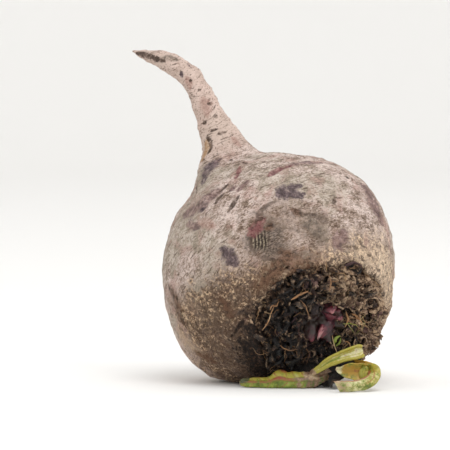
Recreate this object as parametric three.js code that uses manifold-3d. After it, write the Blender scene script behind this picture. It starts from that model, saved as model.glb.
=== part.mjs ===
// A fresh beetroot as lifted, lying on its side: a round swollen root that runs out into a long
// bent taproot, a dark crown of dead leaf bases, a heart of pink buds and three young leaves.
// Millimetres, +Z up. The origin is the middle of the flat spot that the root rests on.

import * as THREE from "three";
import { mergeVertices } from "three/addons/utils/BufferGeometryUtils.js";
import Module from "manifold-3d";

const wasm = await Module();
wasm.setup();

// Driving dimensions.
const BODY_RADIUS = 45;
const BODY_CENTRE = new THREE.Vector3(0, 0, 44);
const CROWN_AXIS = new THREE.Vector3(0.4, -0.79, -0.46).normalize();
const FIT_GAP = 0.3;
const SEED = 20817;

// Where the taproot leaves the body: its direction from the centre, and the angle of its foot.
const TAPROOT_WAY = new THREE.Vector3(-0.42, 0.16, 0.89).normalize();
const TAPROOT_FOOT = THREE.MathUtils.degToRad(24);

// The taproot's rings from the body to its tip: x, y, z of the centre, then the radius.
const TAPROOT = [
  [-18, 7.5, 83.4, 12.4],
  [-20, 9, 88.4, 9.5],
  [-22.2, 11, 93, 7.8],
  [-24.6, 13.5, 98.4, 6.5],
  [-26.9, 16.5, 103.7, 5.5],
  [-28.8, 19, 108.1, 5],
  [-31.3, 22, 112.7, 4.5],
  [-34.1, 25, 116.9, 4.4],
  [-38, 28, 120.1, 4.1],
  [-42, 31, 122.6, 4.2],
  [-46, 33.5, 124.3, 3.5],
  [-50, 35.5, 125.3, 2.6],
  [-54, 37.5, 126.3, 1.5],
  [-57, 39, 127.1, 0.5],
];
// Knots where side roots broke off: place, height and reach.
const KNOTS = [
  { at: [-32.1, 15.5, 105], height: 0.7, reach: 1.8 },
  { at: [-30.5, 25.5, 119.6], height: 0.8, reach: 1.9 },
  { at: [-17, 12, 97], height: 0.4, reach: 2 },
];

// The root's mesh: sides round each ring, rings over the body, rings for each taproot station, and
// the stations over which the body's shape passes into the taproot's.
const ROOT_SIDES = 48;
const BODY_RINGS = 24;
const STATION_STEPS = 2;
const FLARE_STATIONS = 3;

// Swellings and hollows of the body: direction from its centre, height, and spread as an angle.
const LOBES = [
  { towards: [-0.62, 0, -0.78], height: 4.2, spread: 0.42 },
  { towards: [-0.1, 0.1, -1], height: 1.6, spread: 0.5 },
  { towards: [0.72, -0.1, 0.68], height: 1.4, spread: 0.4 },
  { towards: [0, -0.05, 1], height: -1.3, spread: 0.36 },
  { towards: [-0.93, -0.2, 0.35], height: -1.5, spread: 0.4 },
  { towards: [-0.1, -0.95, 0.35], height: -1.3, spread: 0.15 },
  { towards: [0.28, -0.85, 0.45], height: -1.2, spread: 0.2 },
  { towards: [0.1, 0.95, 0.1], height: 1.2, spread: 0.5 },
  { towards: [0.8, 0.5, -0.1], height: -1.4, spread: 0.35 },
];
const LUMP_HEIGHT = 0.45;
const WRINKLE_HEIGHT = 0.18;

// The crown's seat in the root and the crown's core, as distances from and along the crown axis.
const SEAT_RADIUS = 27;
const SEAT_FLOOR = 32;
const SEAT_RIM_FLOOR = 33.6;
const CORE_PROFILE = [
  [27, 35.2],
  [24.8, 36.6],
  [21, 38.4],
  [16, 40],
  [10.4, 40.6],
  [0, 40.4],
];
const CORE_SIDES = 40;
const CORE_LUMP = 0.7;

// Dead leaf bases: how many, where they start and end from the axis, the level that they stand at
// near the heart and how far it drops to the rim, how deep each foot is sunk and its rings.
const LEAF_BASES = 84;
const BASES_START = 10.6;
const BASES_END = 26.4;
const BASES_LEVEL = 40.8;
const BASES_DROP = 4.2;
const BASE_SINK = 2.2;
const BASE_SPANS = 2;
const GOLDEN_ANGLE = Math.PI * (3 - Math.sqrt(5));

// The lowest and highest of each measure of a dead leaf base, and what the rim adds to it. The
// lean and the curl are angles, and the rest is in millimetres but the bow, a share of the width.
const BASE_RANGES = {
  width: [5, 7.8, 1],
  length: [2.4, 4.8, -0.8],
  thickness: [1.5, 2.3, 0],
  lean: [-0.1, 0.6, 0.45],
  curl: [-0.2, 0.6, 0],
  bow: [0.1, 0.4, 0],
  ragged: [0.3, 1.1, 0],
  phase: [0, 6, 0],
};

// The heart of the crown: its plate, and its buds as place across the crown, radius, length, lean.
const HEART_RADIUS = 9;
const HEART_FLOOR = 35.6;
const HEART_TOP = 38.9;
const HEART_TAPER = 1.2;
const HEART_BEVEL = 0.8;
const HEART_SIDES = 24;
const BUD_SIDES = 10;
const BUD_SINK = 1.5;
const BUD_WAIST = [1, 1.12, 0.94, 0.6, 0.18];
const BUD_PLEAT = 0.14;
const BUDS = [
  { at: [-3.2, -4], radius: 3.5, length: 7, lean: [-0.2, -0.3] },
  { at: [3, 3.6], radius: 3.5, length: 6.2, lean: [0.25, 0.3] },
  { at: [5.6, -1.4], radius: 2.7, length: 6, lean: [0.5, 0] },
  { at: [-4.2, 3.6], radius: 3, length: 5, lean: [-0.4, 0.25] },
  { at: [2.4, -5.4], radius: 2.7, length: 6, lean: [0.3, -0.45] },
  { at: [0.2, -0.2], radius: 2.6, length: 5.4, lean: [0.05, 0] },
];

// Young leaves as stations: x, y, z of the rib, full width, then the direction across the blade.
const LONG_LEAF = {
  thickness: 1.5,
  cup: 0.34,
  rib: 0.7,
  wave: 0.35,
  stations: [
    [19.6, -17, 9.6, 3, 0.5, 0.5, 0.9],
    [20.9, -24, 6.4, 3.4, 0.3, 0.35, 1],
    [19.9, -30.4, 3.9, 4.6, 0.05, 0.2, 1],
    [14, -33.6, 3.1, 5.4, 0, 0.2, 1],
    [8, -34.2, 3, 5.8, 0, 0.2, 1],
    [1.5, -33.8, 3, 6.2, 0, 0.2, 1],
    [-3.4, -33, 2.6, 5.2, 0, 0.25, 1],
    [-8.4, -31.4, 2, 3.7, 0, 0.3, 1],
    [-12.6, -29.6, 1.7, 3.2, 0, 0.3, 1],
    [-14.8, -28.6, 1.6, 2, 0, 0.3, 1],
  ],
};
const STALK_LEAF = {
  thickness: 1.7,
  cup: 0.42,
  rib: 0.5,
  wave: 0,
  stations: [
    [14.6, -16.8, 9.4, 2.2, 1, 0.2, 0.3],
    [13, -24.6, 8, 2.2, 0.8, 0.2, 0.5],
    [12.4, -31, 7.6, 2.3, 0.3, 0.3, 1],
    [15, -34.4, 8.1, 2.8, -0.35, 0.2, 1],
    [19.4, -35.8, 9.6, 3.4, -0.4, 0.15, 1],
    [24.8, -36.2, 11.6, 4.2, -0.32, 0.15, 1],
    [30.2, -35.6, 13.4, 5, -0.26, 0.15, 1],
  ],
};
const CURLED_LEAF = {
  thickness: 1.5,
  cup: 0.2,
  rib: 0.5,
  wave: 0.3,
  stations: [
    [23.6, -15.6, 12.6, 3.4, -0.3, 0.4, 1],
    [24.6, -21.6, 9.8, 4.8, -0.2, 0.3, 1],
    [26.6, -27.4, 8.1, 6.6, -0.1, 0.25, 1],
    [30.6, -31.2, 7.5, 7.4, 0.05, 0.2, 1],
    [34.6, -34.8, 7, 7.6, 0.25, 0.1, 1],
    [36.6, -40, 5.8, 7.2, 0.3, 0, 1],
    [35.4, -45.6, 4.2, 6.2, 0.15, -0.2, 1],
    [31.2, -49.8, 3, 5, 0, -0.15, 1],
    [26.2, -52, 2.4, 4.6, 0, -0.1, 1],
    [21, -52.6, 2.4, 4.7, 0, -0.1, 1],
  ],
};
const BLADE_POINTS = 7;
const BLADE_STEPS = 3;

const SKIN = { color: 0xa8958a, roughness: 0.78, metalness: 0 };
const DEAD_LEAF = { color: 0x33261f, roughness: 0.92, metalness: 0 };
const BUD_PINK = { color: 0x8c3f50, roughness: 0.5, metalness: 0 };
const LEAF_GREEN = { color: 0x93a83c, roughness: 0.5, metalness: 0 };
const STALK_GREEN = { color: 0xb4bd4c, roughness: 0.45, metalness: 0 };
const CURL_GREEN = { color: 0x9fa746, roughness: 0.5, metalness: 0 };

// A seeded random generator, from 0 up to 1.
function seeded(seed) {
  let state = seed;
  return () => {
    state = (state + 0x6d2b79f5) | 0;
    let mixed = Math.imul(state ^ (state >>> 15), 1 | state);
    mixed = (mixed + Math.imul(mixed ^ (mixed >>> 7), 61 | mixed)) ^ mixed;
    return ((mixed ^ (mixed >>> 14)) >>> 0) / 4294967296;
  };
}

// A smooth uneven field over space, about -1 to 1, with features of the given size.
function unevenness(point, size) {
  const x = point.x / size;
  const y = point.y / size;
  const z = point.z / size;
  const broad = Math.sin(1.7 * x + 2.3 * Math.sin(0.9 * y + 1)) * Math.cos(1.3 * z + 0.6 * x);
  const fine = Math.sin(3.1 * y - 1.9 * z + 2) * Math.sin(2.7 * z + 1.4 * x);
  return 0.6 * broad + 0.4 * fine;
}

// A closed mesh through rings of equal, even point counts, with a strip of faces over each end.
function loft(rings) {
  const sides = rings[0].length;
  const faces = [];
  const quad = (a, b, c, d) => faces.push(a, b, c, a, c, d);
  for (let ring = 0; ring < rings.length - 1; ring += 1) {
    for (let side = 0; side < sides; side += 1) {
      const a = ring * sides + side;
      const b = ring * sides + ((side + 1) % sides);
      quad(a, b, b + sides, a + sides);
    }
  }
  const end = (rings.length - 1) * sides;
  for (let near = 0; near < sides / 2 - 1; near += 1) {
    const far = sides - 1 - near;
    quad(near, far, far - 1, near + 1);
    quad(end + near, end + near + 1, end + far - 1, end + far);
  }
  const geometry = new THREE.BufferGeometry().setFromPoints(rings.flat());
  geometry.setIndex(faces);
  return geometry;
}

// Rings with the points that would reach through the surface below flattened onto it.
function onSurface(rings, grown) {
  for (const point of rings.flat()) {
    point.z = Math.max(point.z, -grown);
  }
  return rings;
}

// A closed geometry with merged vertices as a manifold solid.
function solidOf(geometry) {
  const mesh = new wasm.Mesh({
    numProp: 3,
    vertProperties: new Float32Array(geometry.attributes.position.array),
    triVerts: new Uint32Array(geometry.index.array),
  });
  return new wasm.Manifold(mesh);
}

// A manifold solid as a three.js geometry.
function geometryOf(solid) {
  const mesh = solid.getMesh();
  const geometry = new THREE.BufferGeometry();
  geometry.setAttribute("position", new THREE.BufferAttribute(mesh.vertProperties, 3));
  geometry.setIndex(new THREE.BufferAttribute(mesh.triVerts, 1));
  geometry.computeVertexNormals();
  return geometry;
}

function named(name, geometry, look) {
  const mesh = new THREE.Mesh(geometry, new THREE.MeshStandardMaterial(look));
  mesh.name = name;
  return mesh;
}

// The crown's own frame: right and up across it, and out along its axis from the body's centre.
const CROWN_RIGHT = new THREE.Vector3(0, 0, 1).cross(CROWN_AXIS).normalize();
const CROWN_UP = CROWN_AXIS.clone().cross(CROWN_RIGHT);

function onCrown(right, up, out) {
  return BODY_CENTRE.clone()
    .addScaledVector(CROWN_RIGHT, right)
    .addScaledVector(CROWN_UP, up)
    .addScaledVector(CROWN_AXIS, out);
}

// A solid of revolution about the crown axis, from points of distance from and along the axis.
function turnedOnCrown(profile, sides) {
  const lathe = new THREE.LatheGeometry(
    profile.map(([radius, out]) => new THREE.Vector2(radius, out)),
    sides,
  );
  lathe.deleteAttribute("normal");
  lathe.deleteAttribute("uv");
  const geometry = mergeVertices(lathe, 1e-4);
  const turn = new THREE.Matrix4().makeBasis(CROWN_RIGHT, CROWN_AXIS, CROWN_UP.clone().negate());
  geometry.applyMatrix4(turn);
  geometry.translate(BODY_CENTRE.x, BODY_CENTRE.y, BODY_CENTRE.z);
  return geometry;
}

// A ring of points round a centre, square to a direction.
function ringAt(centre, direction, radius, sides) {
  const across = new THREE.Vector3().crossVectors(direction, new THREE.Vector3(1, 0, 0.2));
  across.normalize();
  const over = new THREE.Vector3().crossVectors(direction, across);
  return Array.from({ length: sides }, (_, side) => {
    const angle = (2 * Math.PI * side) / sides;
    return centre
      .clone()
      .addScaledVector(across, radius * Math.cos(angle))
      .addScaledVector(over, radius * Math.sin(angle));
  });
}

// How far a point of the root's surface stands out from its plain ring.
function rootRelief(point, bodily) {
  const arm = point.clone().sub(BODY_CENTRE);
  let height = LUMP_HEIGHT * unevenness(point, 9);
  for (const lobe of LOBES) {
    const angle = arm.angleTo(new THREE.Vector3(...lobe.towards));
    height += lobe.height * Math.exp(-((angle / lobe.spread) ** 2));
  }
  const nearCrown = THREE.MathUtils.smoothstep(arm.dot(CROWN_AXIS), 12, 36);
  height += LUMP_HEIGHT * 2 * nearCrown * unevenness(point, 7);
  let rough = WRINKLE_HEIGHT * Math.sin(arm.length() * 1.15 + 2 * unevenness(point, 14));
  for (const knot of KNOTS) {
    const away = point.distanceTo(new THREE.Vector3(...knot.at));
    rough += knot.height * Math.exp(-((away / knot.reach) ** 2));
  }
  return height * bodily + rough * (1 - bodily);
}

// The root's plain rings, from the crown's pole over the body and down the taproot. They stand
// square to the crown's axis at first and turn to the taproot's way further back.
function plainRings() {
  const body = Array.from({ length: BODY_RINGS }, (_, ring) => {
    const share = (ring + 1) / BODY_RINGS;
    const angle = share * (Math.PI - TAPROOT_FOOT);
    const turned = THREE.MathUtils.smoothstep(share, 0.2, 1);
    const square = CROWN_AXIS.clone().negate().lerp(TAPROOT_WAY, turned).normalize();
    const centre = BODY_CENTRE.clone().addScaledVector(square, -BODY_RADIUS * Math.cos(angle));
    return { centre, radius: BODY_RADIUS * Math.sin(angle), square, bodily: 1 };
  });
  const foot = body.at(-1);
  const stations = [foot.centre].concat(TAPROOT.map(([x, y, z]) => new THREE.Vector3(x, y, z)));
  const path = new THREE.CatmullRomCurve3(stations);
  const radii = [foot.radius].concat(TAPROOT.map((row) => row[3]));
  const girth = new THREE.CatmullRomCurve3(radii.map((radius) => new THREE.Vector3(radius, 0, 0)));
  const steps = TAPROOT.length * STATION_STEPS;
  const taproot = Array.from({ length: steps }, (_, step) => {
    const share = (step + 1) / steps;
    const bodily = Math.max(0, 1 - (step + 1) / (FLARE_STATIONS * STATION_STEPS));
    const square = path.getTangent(share).lerp(TAPROOT_WAY, bodily).normalize();
    return { centre: path.getPoint(share), radius: girth.getPoint(share).x, square, bodily };
  });
  return [...body, ...taproot];
}

// The root's surface, or one grown outwards from it, flattened where it rests.
function rootSkin(grown) {
  const rings = plainRings().map(({ centre, radius, square, bodily }) =>
    ringAt(centre, square, radius, ROOT_SIDES).map((point) => {
      const outward = point.clone().sub(centre).normalize();
      outward.lerp(point.clone().sub(BODY_CENTRE).normalize(), bodily).normalize();
      return point.addScaledVector(outward, rootRelief(point, bodily) + grown);
    }),
  );
  return solidOf(loft(onSurface(rings, grown)));
}

// The hollow in the root that holds the crown, or with no gap the room that the crown may fill.
function seatRoom(gap) {
  const top = BODY_RADIUS + 20;
  return solidOf(
    turnedOnCrown(
      [
        [0, SEAT_FLOOR - gap],
        [SEAT_RADIUS * 0.6, SEAT_FLOOR + 0.4 - gap],
        [SEAT_RADIUS + gap, SEAT_RIM_FLOOR - gap],
        [SEAT_RADIUS + gap, top],
        [0, top],
      ],
      CORE_SIDES,
    ),
  );
}

// The crown's core: a lumpy cushion that fills the seat, and from which the leaf bases stand.
function crownCore() {
  const profile = [[0, SEAT_FLOOR], [SEAT_RADIUS * 0.6, SEAT_FLOOR + 0.4], [SEAT_RADIUS, SEAT_RIM_FLOOR]];
  const geometry = turnedOnCrown(profile.concat(CORE_PROFILE), CORE_SIDES);
  const position = geometry.attributes.position;
  for (let index = 0; index < position.count; index += 1) {
    const point = new THREE.Vector3().fromBufferAttribute(position, index);
    const out = point.clone().sub(BODY_CENTRE).dot(CROWN_AXIS);
    const exposed = THREE.MathUtils.smoothstep(out, SEAT_RIM_FLOOR + 1, SEAT_RIM_FLOOR + 4);
    point.addScaledVector(CROWN_AXIS, exposed * CORE_LUMP * unevenness(point, 4));
    position.setXYZ(index, point.x, point.y, point.z);
  }
  return solidOf(geometry);
}

// One dead leaf base: a thick crescent tongue with a broken end, leaning out from the crown.
function leafBase(foot, outward, sideways, shape) {
  const rings = [];
  for (let span = 0; span <= BASE_SPANS; span += 1) {
    const share = span / BASE_SPANS;
    const lean = shape.lean + shape.curl * share;
    const along = CROWN_AXIS.clone().multiplyScalar(Math.cos(lean)).addScaledVector(outward, Math.sin(lean));
    const face = CROWN_AXIS.clone().multiplyScalar(-Math.sin(lean)).addScaledVector(outward, Math.cos(lean));
    const centre = foot.clone().addScaledVector(along, (BASE_SINK + shape.length) * share - BASE_SINK);
    const half = (shape.width / 2) * (1 - 0.45 * share * share);
    const thick = (shape.thickness / 2) * (1 - 0.35 * share);
    const corners = [
      [-1, 0],
      [-0.5, 1],
      [0.5, 1],
      [1, 0],
      [0.5, -1],
      [-0.5, -1],
    ];
    rings.push(
      corners.map(([across, deep], corner) =>
        centre
          .clone()
          .addScaledVector(sideways, across * half)
          .addScaledVector(face, deep * thick - shape.bow * half * across * across)
          .addScaledVector(along, share * shape.ragged * Math.sin(2.4 * corner + shape.phase)),
      ),
    );
  }
  return solidOf(loft(onSurface(rings, 0)));
}

// All the dead leaf bases, set out by the golden angle as leaves grow, larger towards the rim.
function leafBases() {
  const random = seeded(SEED);
  const between = (low, high) => low + (high - low) * random();
  return Array.from({ length: LEAF_BASES }, (_, index) => {
    const share = (index + 0.5) / LEAF_BASES;
    const reach = Math.sqrt(BASES_START ** 2 + share * (BASES_END ** 2 - BASES_START ** 2));
    const angle = index * GOLDEN_ANGLE + between(-0.12, 0.12);
    const outward = CROWN_RIGHT.clone()
      .multiplyScalar(Math.cos(angle))
      .addScaledVector(CROWN_UP, Math.sin(angle));
    const sideways = new THREE.Vector3().crossVectors(CROWN_AXIS, outward);
    const rim = share ** 1.5;
    const level = BASES_LEVEL - BASES_DROP * rim;
    const foot = onCrown(reach * Math.cos(angle), reach * Math.sin(angle), level);
    const shape = {};
    for (const [measure, [low, high, added]] of Object.entries(BASE_RANGES)) {
      shape[measure] = between(low, high) + added * rim;
    }
    return leafBase(foot, outward, sideways, shape);
  });
}

// A young leaf: a cupped blade with a rib down its back, swept along its stations.
function leafRings(leaf, grown) {
  const path = new THREE.CatmullRomCurve3(leaf.stations.map(([x, y, z]) => new THREE.Vector3(x, y, z)));
  const facing = new THREE.CatmullRomCurve3(leaf.stations.map((row) => new THREE.Vector3(...row.slice(4))));
  const breadth = new THREE.CatmullRomCurve3(leaf.stations.map((row) => new THREE.Vector3(row[3], 0, 0)));
  const steps = (leaf.stations.length - 1) * BLADE_STEPS;
  return Array.from({ length: steps + 1 }, (_, step) => {
    const share = step / steps;
    const along = path.getTangent(share);
    const across = facing.getPoint(share);
    across.addScaledVector(along, -across.dot(along)).normalize();
    const back = new THREE.Vector3().crossVectors(across, along);
    const half = breadth.getPoint(share).x / 2 + grown;
    const centre = path.getPoint(share);
    const face = (side) => (_, index) => {
      const place = side * (-1 + (2 * index) / (BLADE_POINTS - 1));
      const thick = (leaf.thickness / 2) * (1 - 0.45 * place * place) + grown;
      const rib = side > 0 ? leaf.rib * Math.exp(-((place / 0.3) ** 2)) : 0;
      const wave = leaf.wave * place * Math.sin(step * 1.3);
      return centre
        .clone()
        .addScaledVector(across, place * half)
        .addScaledVector(back, side * thick + rib - leaf.cup * half * place * place + wave);
    };
    const ring = Array.from({ length: BLADE_POINTS }, face(1));
    return ring.concat(Array.from({ length: BLADE_POINTS }, face(-1)));
  });
}

function leafSolid(leaf, grown) {
  return solidOf(loft(onSurface(leafRings(leaf, grown), grown)));
}

// One bud: a pointed cone with a full waist, leaning from its foot on the heart's plate.
function bud({ at, radius, length, lean }) {
  const rings = BUD_WAIST.map((girth, level) => {
    const share = level / (BUD_WAIST.length - 1);
    const bend = share * share * length;
    const out = HEART_TOP - BUD_SINK + length * share;
    const centre = onCrown(at[0] + lean[0] * bend, at[1] + lean[1] * bend, out);
    return Array.from({ length: BUD_SIDES }, (_, side) => {
      const angle = (2 * Math.PI * side) / BUD_SIDES;
      const arm = radius * girth * (1 + BUD_PLEAT * Math.cos(3 * angle + level));
      return centre
        .clone()
        .addScaledVector(CROWN_RIGHT, arm * Math.cos(angle))
        .addScaledVector(CROWN_UP, arm * Math.sin(angle));
    });
  });
  return solidOf(loft(rings));
}

// The heart's plate, which the buds stand on.
function heartPlate() {
  const profile = [
    [0, HEART_FLOOR],
    [HEART_RADIUS - HEART_TAPER, HEART_FLOOR],
    [HEART_RADIUS, HEART_TOP - HEART_TAPER],
    [HEART_RADIUS - HEART_BEVEL, HEART_TOP],
    [0, HEART_TOP],
  ];
  return solidOf(turnedOnCrown(profile, HEART_SIDES));
}

// The pocket for the heart in the crown, opening outwards above the plate to clear the buds.
function heartRoom() {
  const profile = [
    [0, HEART_FLOOR - FIT_GAP],
    [HEART_RADIUS - HEART_TAPER + FIT_GAP, HEART_FLOOR - FIT_GAP],
    [HEART_RADIUS + FIT_GAP, HEART_TOP - HEART_TAPER],
    [HEART_RADIUS + 0.8, HEART_TOP + 1],
    [HEART_RADIUS + 10, HEART_TOP + 10],
    [0, HEART_TOP + 10],
  ];
  return solidOf(turnedOnCrown(profile, HEART_SIDES));
}

const join = (solids) => solids.reduce((sum, solid) => sum.add(solid));

const leaves = [LONG_LEAF, STALK_LEAF, CURLED_LEAF];
const leafRoom = join(leaves.map((leaf) => leafSolid(leaf, FIT_GAP)));
const grownRoot = rootSkin(FIT_GAP).subtract(seatRoom(0));

const rootSolid = rootSkin(0).subtract(seatRoom(FIT_GAP)).subtract(leafRoom);
const crownSolid = join([crownCore(), ...leafBases()])
  .subtract(grownRoot)
  .subtract(heartRoom())
  .subtract(leafRoom);
const heartSolid = join([heartPlate(), ...BUDS.map(bud)]);

const beetroot = new THREE.Group();
beetroot.add(
  named("root", geometryOf(rootSolid), SKIN),
  named("crown", geometryOf(crownSolid), DEAD_LEAF),
  named("heart_buds", geometryOf(heartSolid), BUD_PINK),
  named("leaf_long", geometryOf(leafSolid(LONG_LEAF, 0)), LEAF_GREEN),
  named("leaf_stalk", geometryOf(leafSolid(STALK_LEAF, 0)), STALK_GREEN),
  named("leaf_curled", geometryOf(leafSolid(CURLED_LEAF, 0)), CURL_GREEN),
);

export default beetroot;
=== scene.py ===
"""The looks of a fresh beetroot that lies on its side: corky skin with marks, a crown of dead leaf
bases with pink buds, and three young leaves. Lengths in the file are millimetres until a mesh is
written, and Blender's own are metres."""

import math
import random

import bpy
import numpy as np
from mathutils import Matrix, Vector, noise
from mathutils.bvhtree import BVHTree


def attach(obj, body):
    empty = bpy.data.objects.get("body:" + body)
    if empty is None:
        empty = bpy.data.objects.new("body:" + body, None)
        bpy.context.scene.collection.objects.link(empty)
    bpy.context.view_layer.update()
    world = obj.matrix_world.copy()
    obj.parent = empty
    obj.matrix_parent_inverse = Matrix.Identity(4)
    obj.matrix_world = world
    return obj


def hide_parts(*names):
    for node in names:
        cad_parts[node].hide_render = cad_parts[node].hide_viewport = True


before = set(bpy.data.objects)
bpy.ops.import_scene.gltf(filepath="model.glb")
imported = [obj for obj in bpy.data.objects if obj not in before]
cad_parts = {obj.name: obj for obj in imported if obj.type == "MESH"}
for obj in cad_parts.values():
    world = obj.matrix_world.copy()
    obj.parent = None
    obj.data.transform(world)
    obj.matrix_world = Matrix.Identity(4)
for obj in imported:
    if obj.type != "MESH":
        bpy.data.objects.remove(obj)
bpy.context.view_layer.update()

bl_info = {
    "name": "Fresh beetroot",
    "version": (1, 0, 0),
    "blender": (4, 5, 0),
    "location": "View3D > Sidebar > Beetroot",
    "description": "Models the skin, crown, buds and leaves of a beetroot on its packed frame",
    "category": "Add Mesh",
}

MM = 0.001
SEED = 20817


def unit(vector):
    """A vector, or rows of them, at length 1."""
    rows = np.asarray(vector, float)
    return rows / np.maximum(np.linalg.norm(rows, axis=-1, keepdims=True), 1e-9)


# The body's centre and radius, the crown's own frame and the way that the taproot leaves.
BODY_CENTRE = np.array([0.0, 0.0, 44.0])
BODY_RADIUS = 45.0
CROWN_AXIS = unit([0.4, -0.79, -0.46])
CROWN_RIGHT = unit(np.cross([0, 0, 1], CROWN_AXIS))
CROWN_UP = np.cross(CROWN_AXIS, CROWN_RIGHT)
TAPROOT_WAY = unit([-0.42, 0.16, 0.89])

# The crown's outer face: reach from its axis, and level along it from the body's centre.
CROWN_REACH = (0, 9, 10.4, 16, 21, 24.8, 27, 29)
CROWN_LEVEL = (39.4, 39.6, 40.6, 40, 38.4, 36.6, 35.2, 33.6)
HEART_TOP = 38.9

# How far from the crown's axis dead leaf bases and fibres reach at most, and how far from a young
# leaf's rib they stay.
CROWN_SPREAD = 31.5
FIBRE_SPREAD = 29.5
FLAKE_CLEARANCE = 2.6
FIBRE_CLEARANCE = 4

# Round the crown, in degrees: the seat's edge, how far the skin's lip grows over it at each
# azimuth, how far dark soil clings beyond the lip, and where the rough scurf ends.
SEAT_ANGLE = 37.4
LIP_AZIMUTH = (-150, -125, -60, 0, 33, 50, 61, 81, 91, 108, 125, 148, 164, 180)
LIP_PULL = (4, 1, 0, 0, 1.5, 3.9, 4.1, 4.9, 7.6, 6.4, 4.2, 2, 1.4, 2)
SOIL_AZIMUTH = (-168, -150, -130, -100, -40, 0, 40, 90, 130, 165)
SOIL_WIDTH = (9, 15, 14, 9, 7, 4, 1, 1.5, 3, 4)
SCURF_AZIMUTH = (-163, -120, -60, 0, 42, 87, 114, 154, 179)
SCURF_ANGLE = (92, 78, 72, 70, 62, 46, 46, 60, 76)

# How brown the crown is along its rim at each azimuth, next to its black middle.
RIM_AZIMUTH = (-150, -110, -60, -20, 10, 50, 90, 130, 160)
RIM_TONE = (0.25, 0.05, 0.45, 0.85, 0.7, 0.4, 0.05, 0.3, 0.5)
RIM_SINK = (1, 0, 0, 0, 0, 1.3, 1.7, 1.7, 1.4)

# Where torn, drier bits lie on the crown: right and up from its axis, radius and added tone.
DRY_PATCHES = (
    ((4, 14.5), 7, 0.56),
    ((-9, 19), 5, 0.24),
    ((21, -5), 6, 0.22),
    ((15, 10), 5, 0.12),
)

# The outline seen from the front: its reach from the body's centre at each angle below level.
OUTLINE_ANGLE = (8, 20, 28, 33, 37, 42, 52)
OUTLINE_REACH = (45.2, 46.2, 46.5, 46.9, 48.1, 48.4, 46)
OUTLINE_SLACK = 0.4

# Small bits on the skin between the crown and its outline: pixels, how far inwards, and how many.
RIM_BITS = {"top": (386, 309), "low": (374, 349), "inward": 11, "count": 190}

# The camera that sees the object as the photograph does.
VIEW_CENTRE = (-20.4, 0.7, 60.2)
VIEW_DISTANCE = 1500.0
VIEW_TILT = math.radians(2.5)
VIEW_UP = np.array([0, math.sin(VIEW_TILT), math.cos(VIEW_TILT)])
VIEW_BACK = np.array([0, -math.cos(VIEW_TILT), math.sin(VIEW_TILT)])
VIEW_EYE = np.array(VIEW_CENTRE) + VIEW_DISTANCE * VIEW_BACK
MM_PER_PIXEL = 0.385
PICTURE_PIXELS = 450
SENSOR_WIDTH = 36.0

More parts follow.
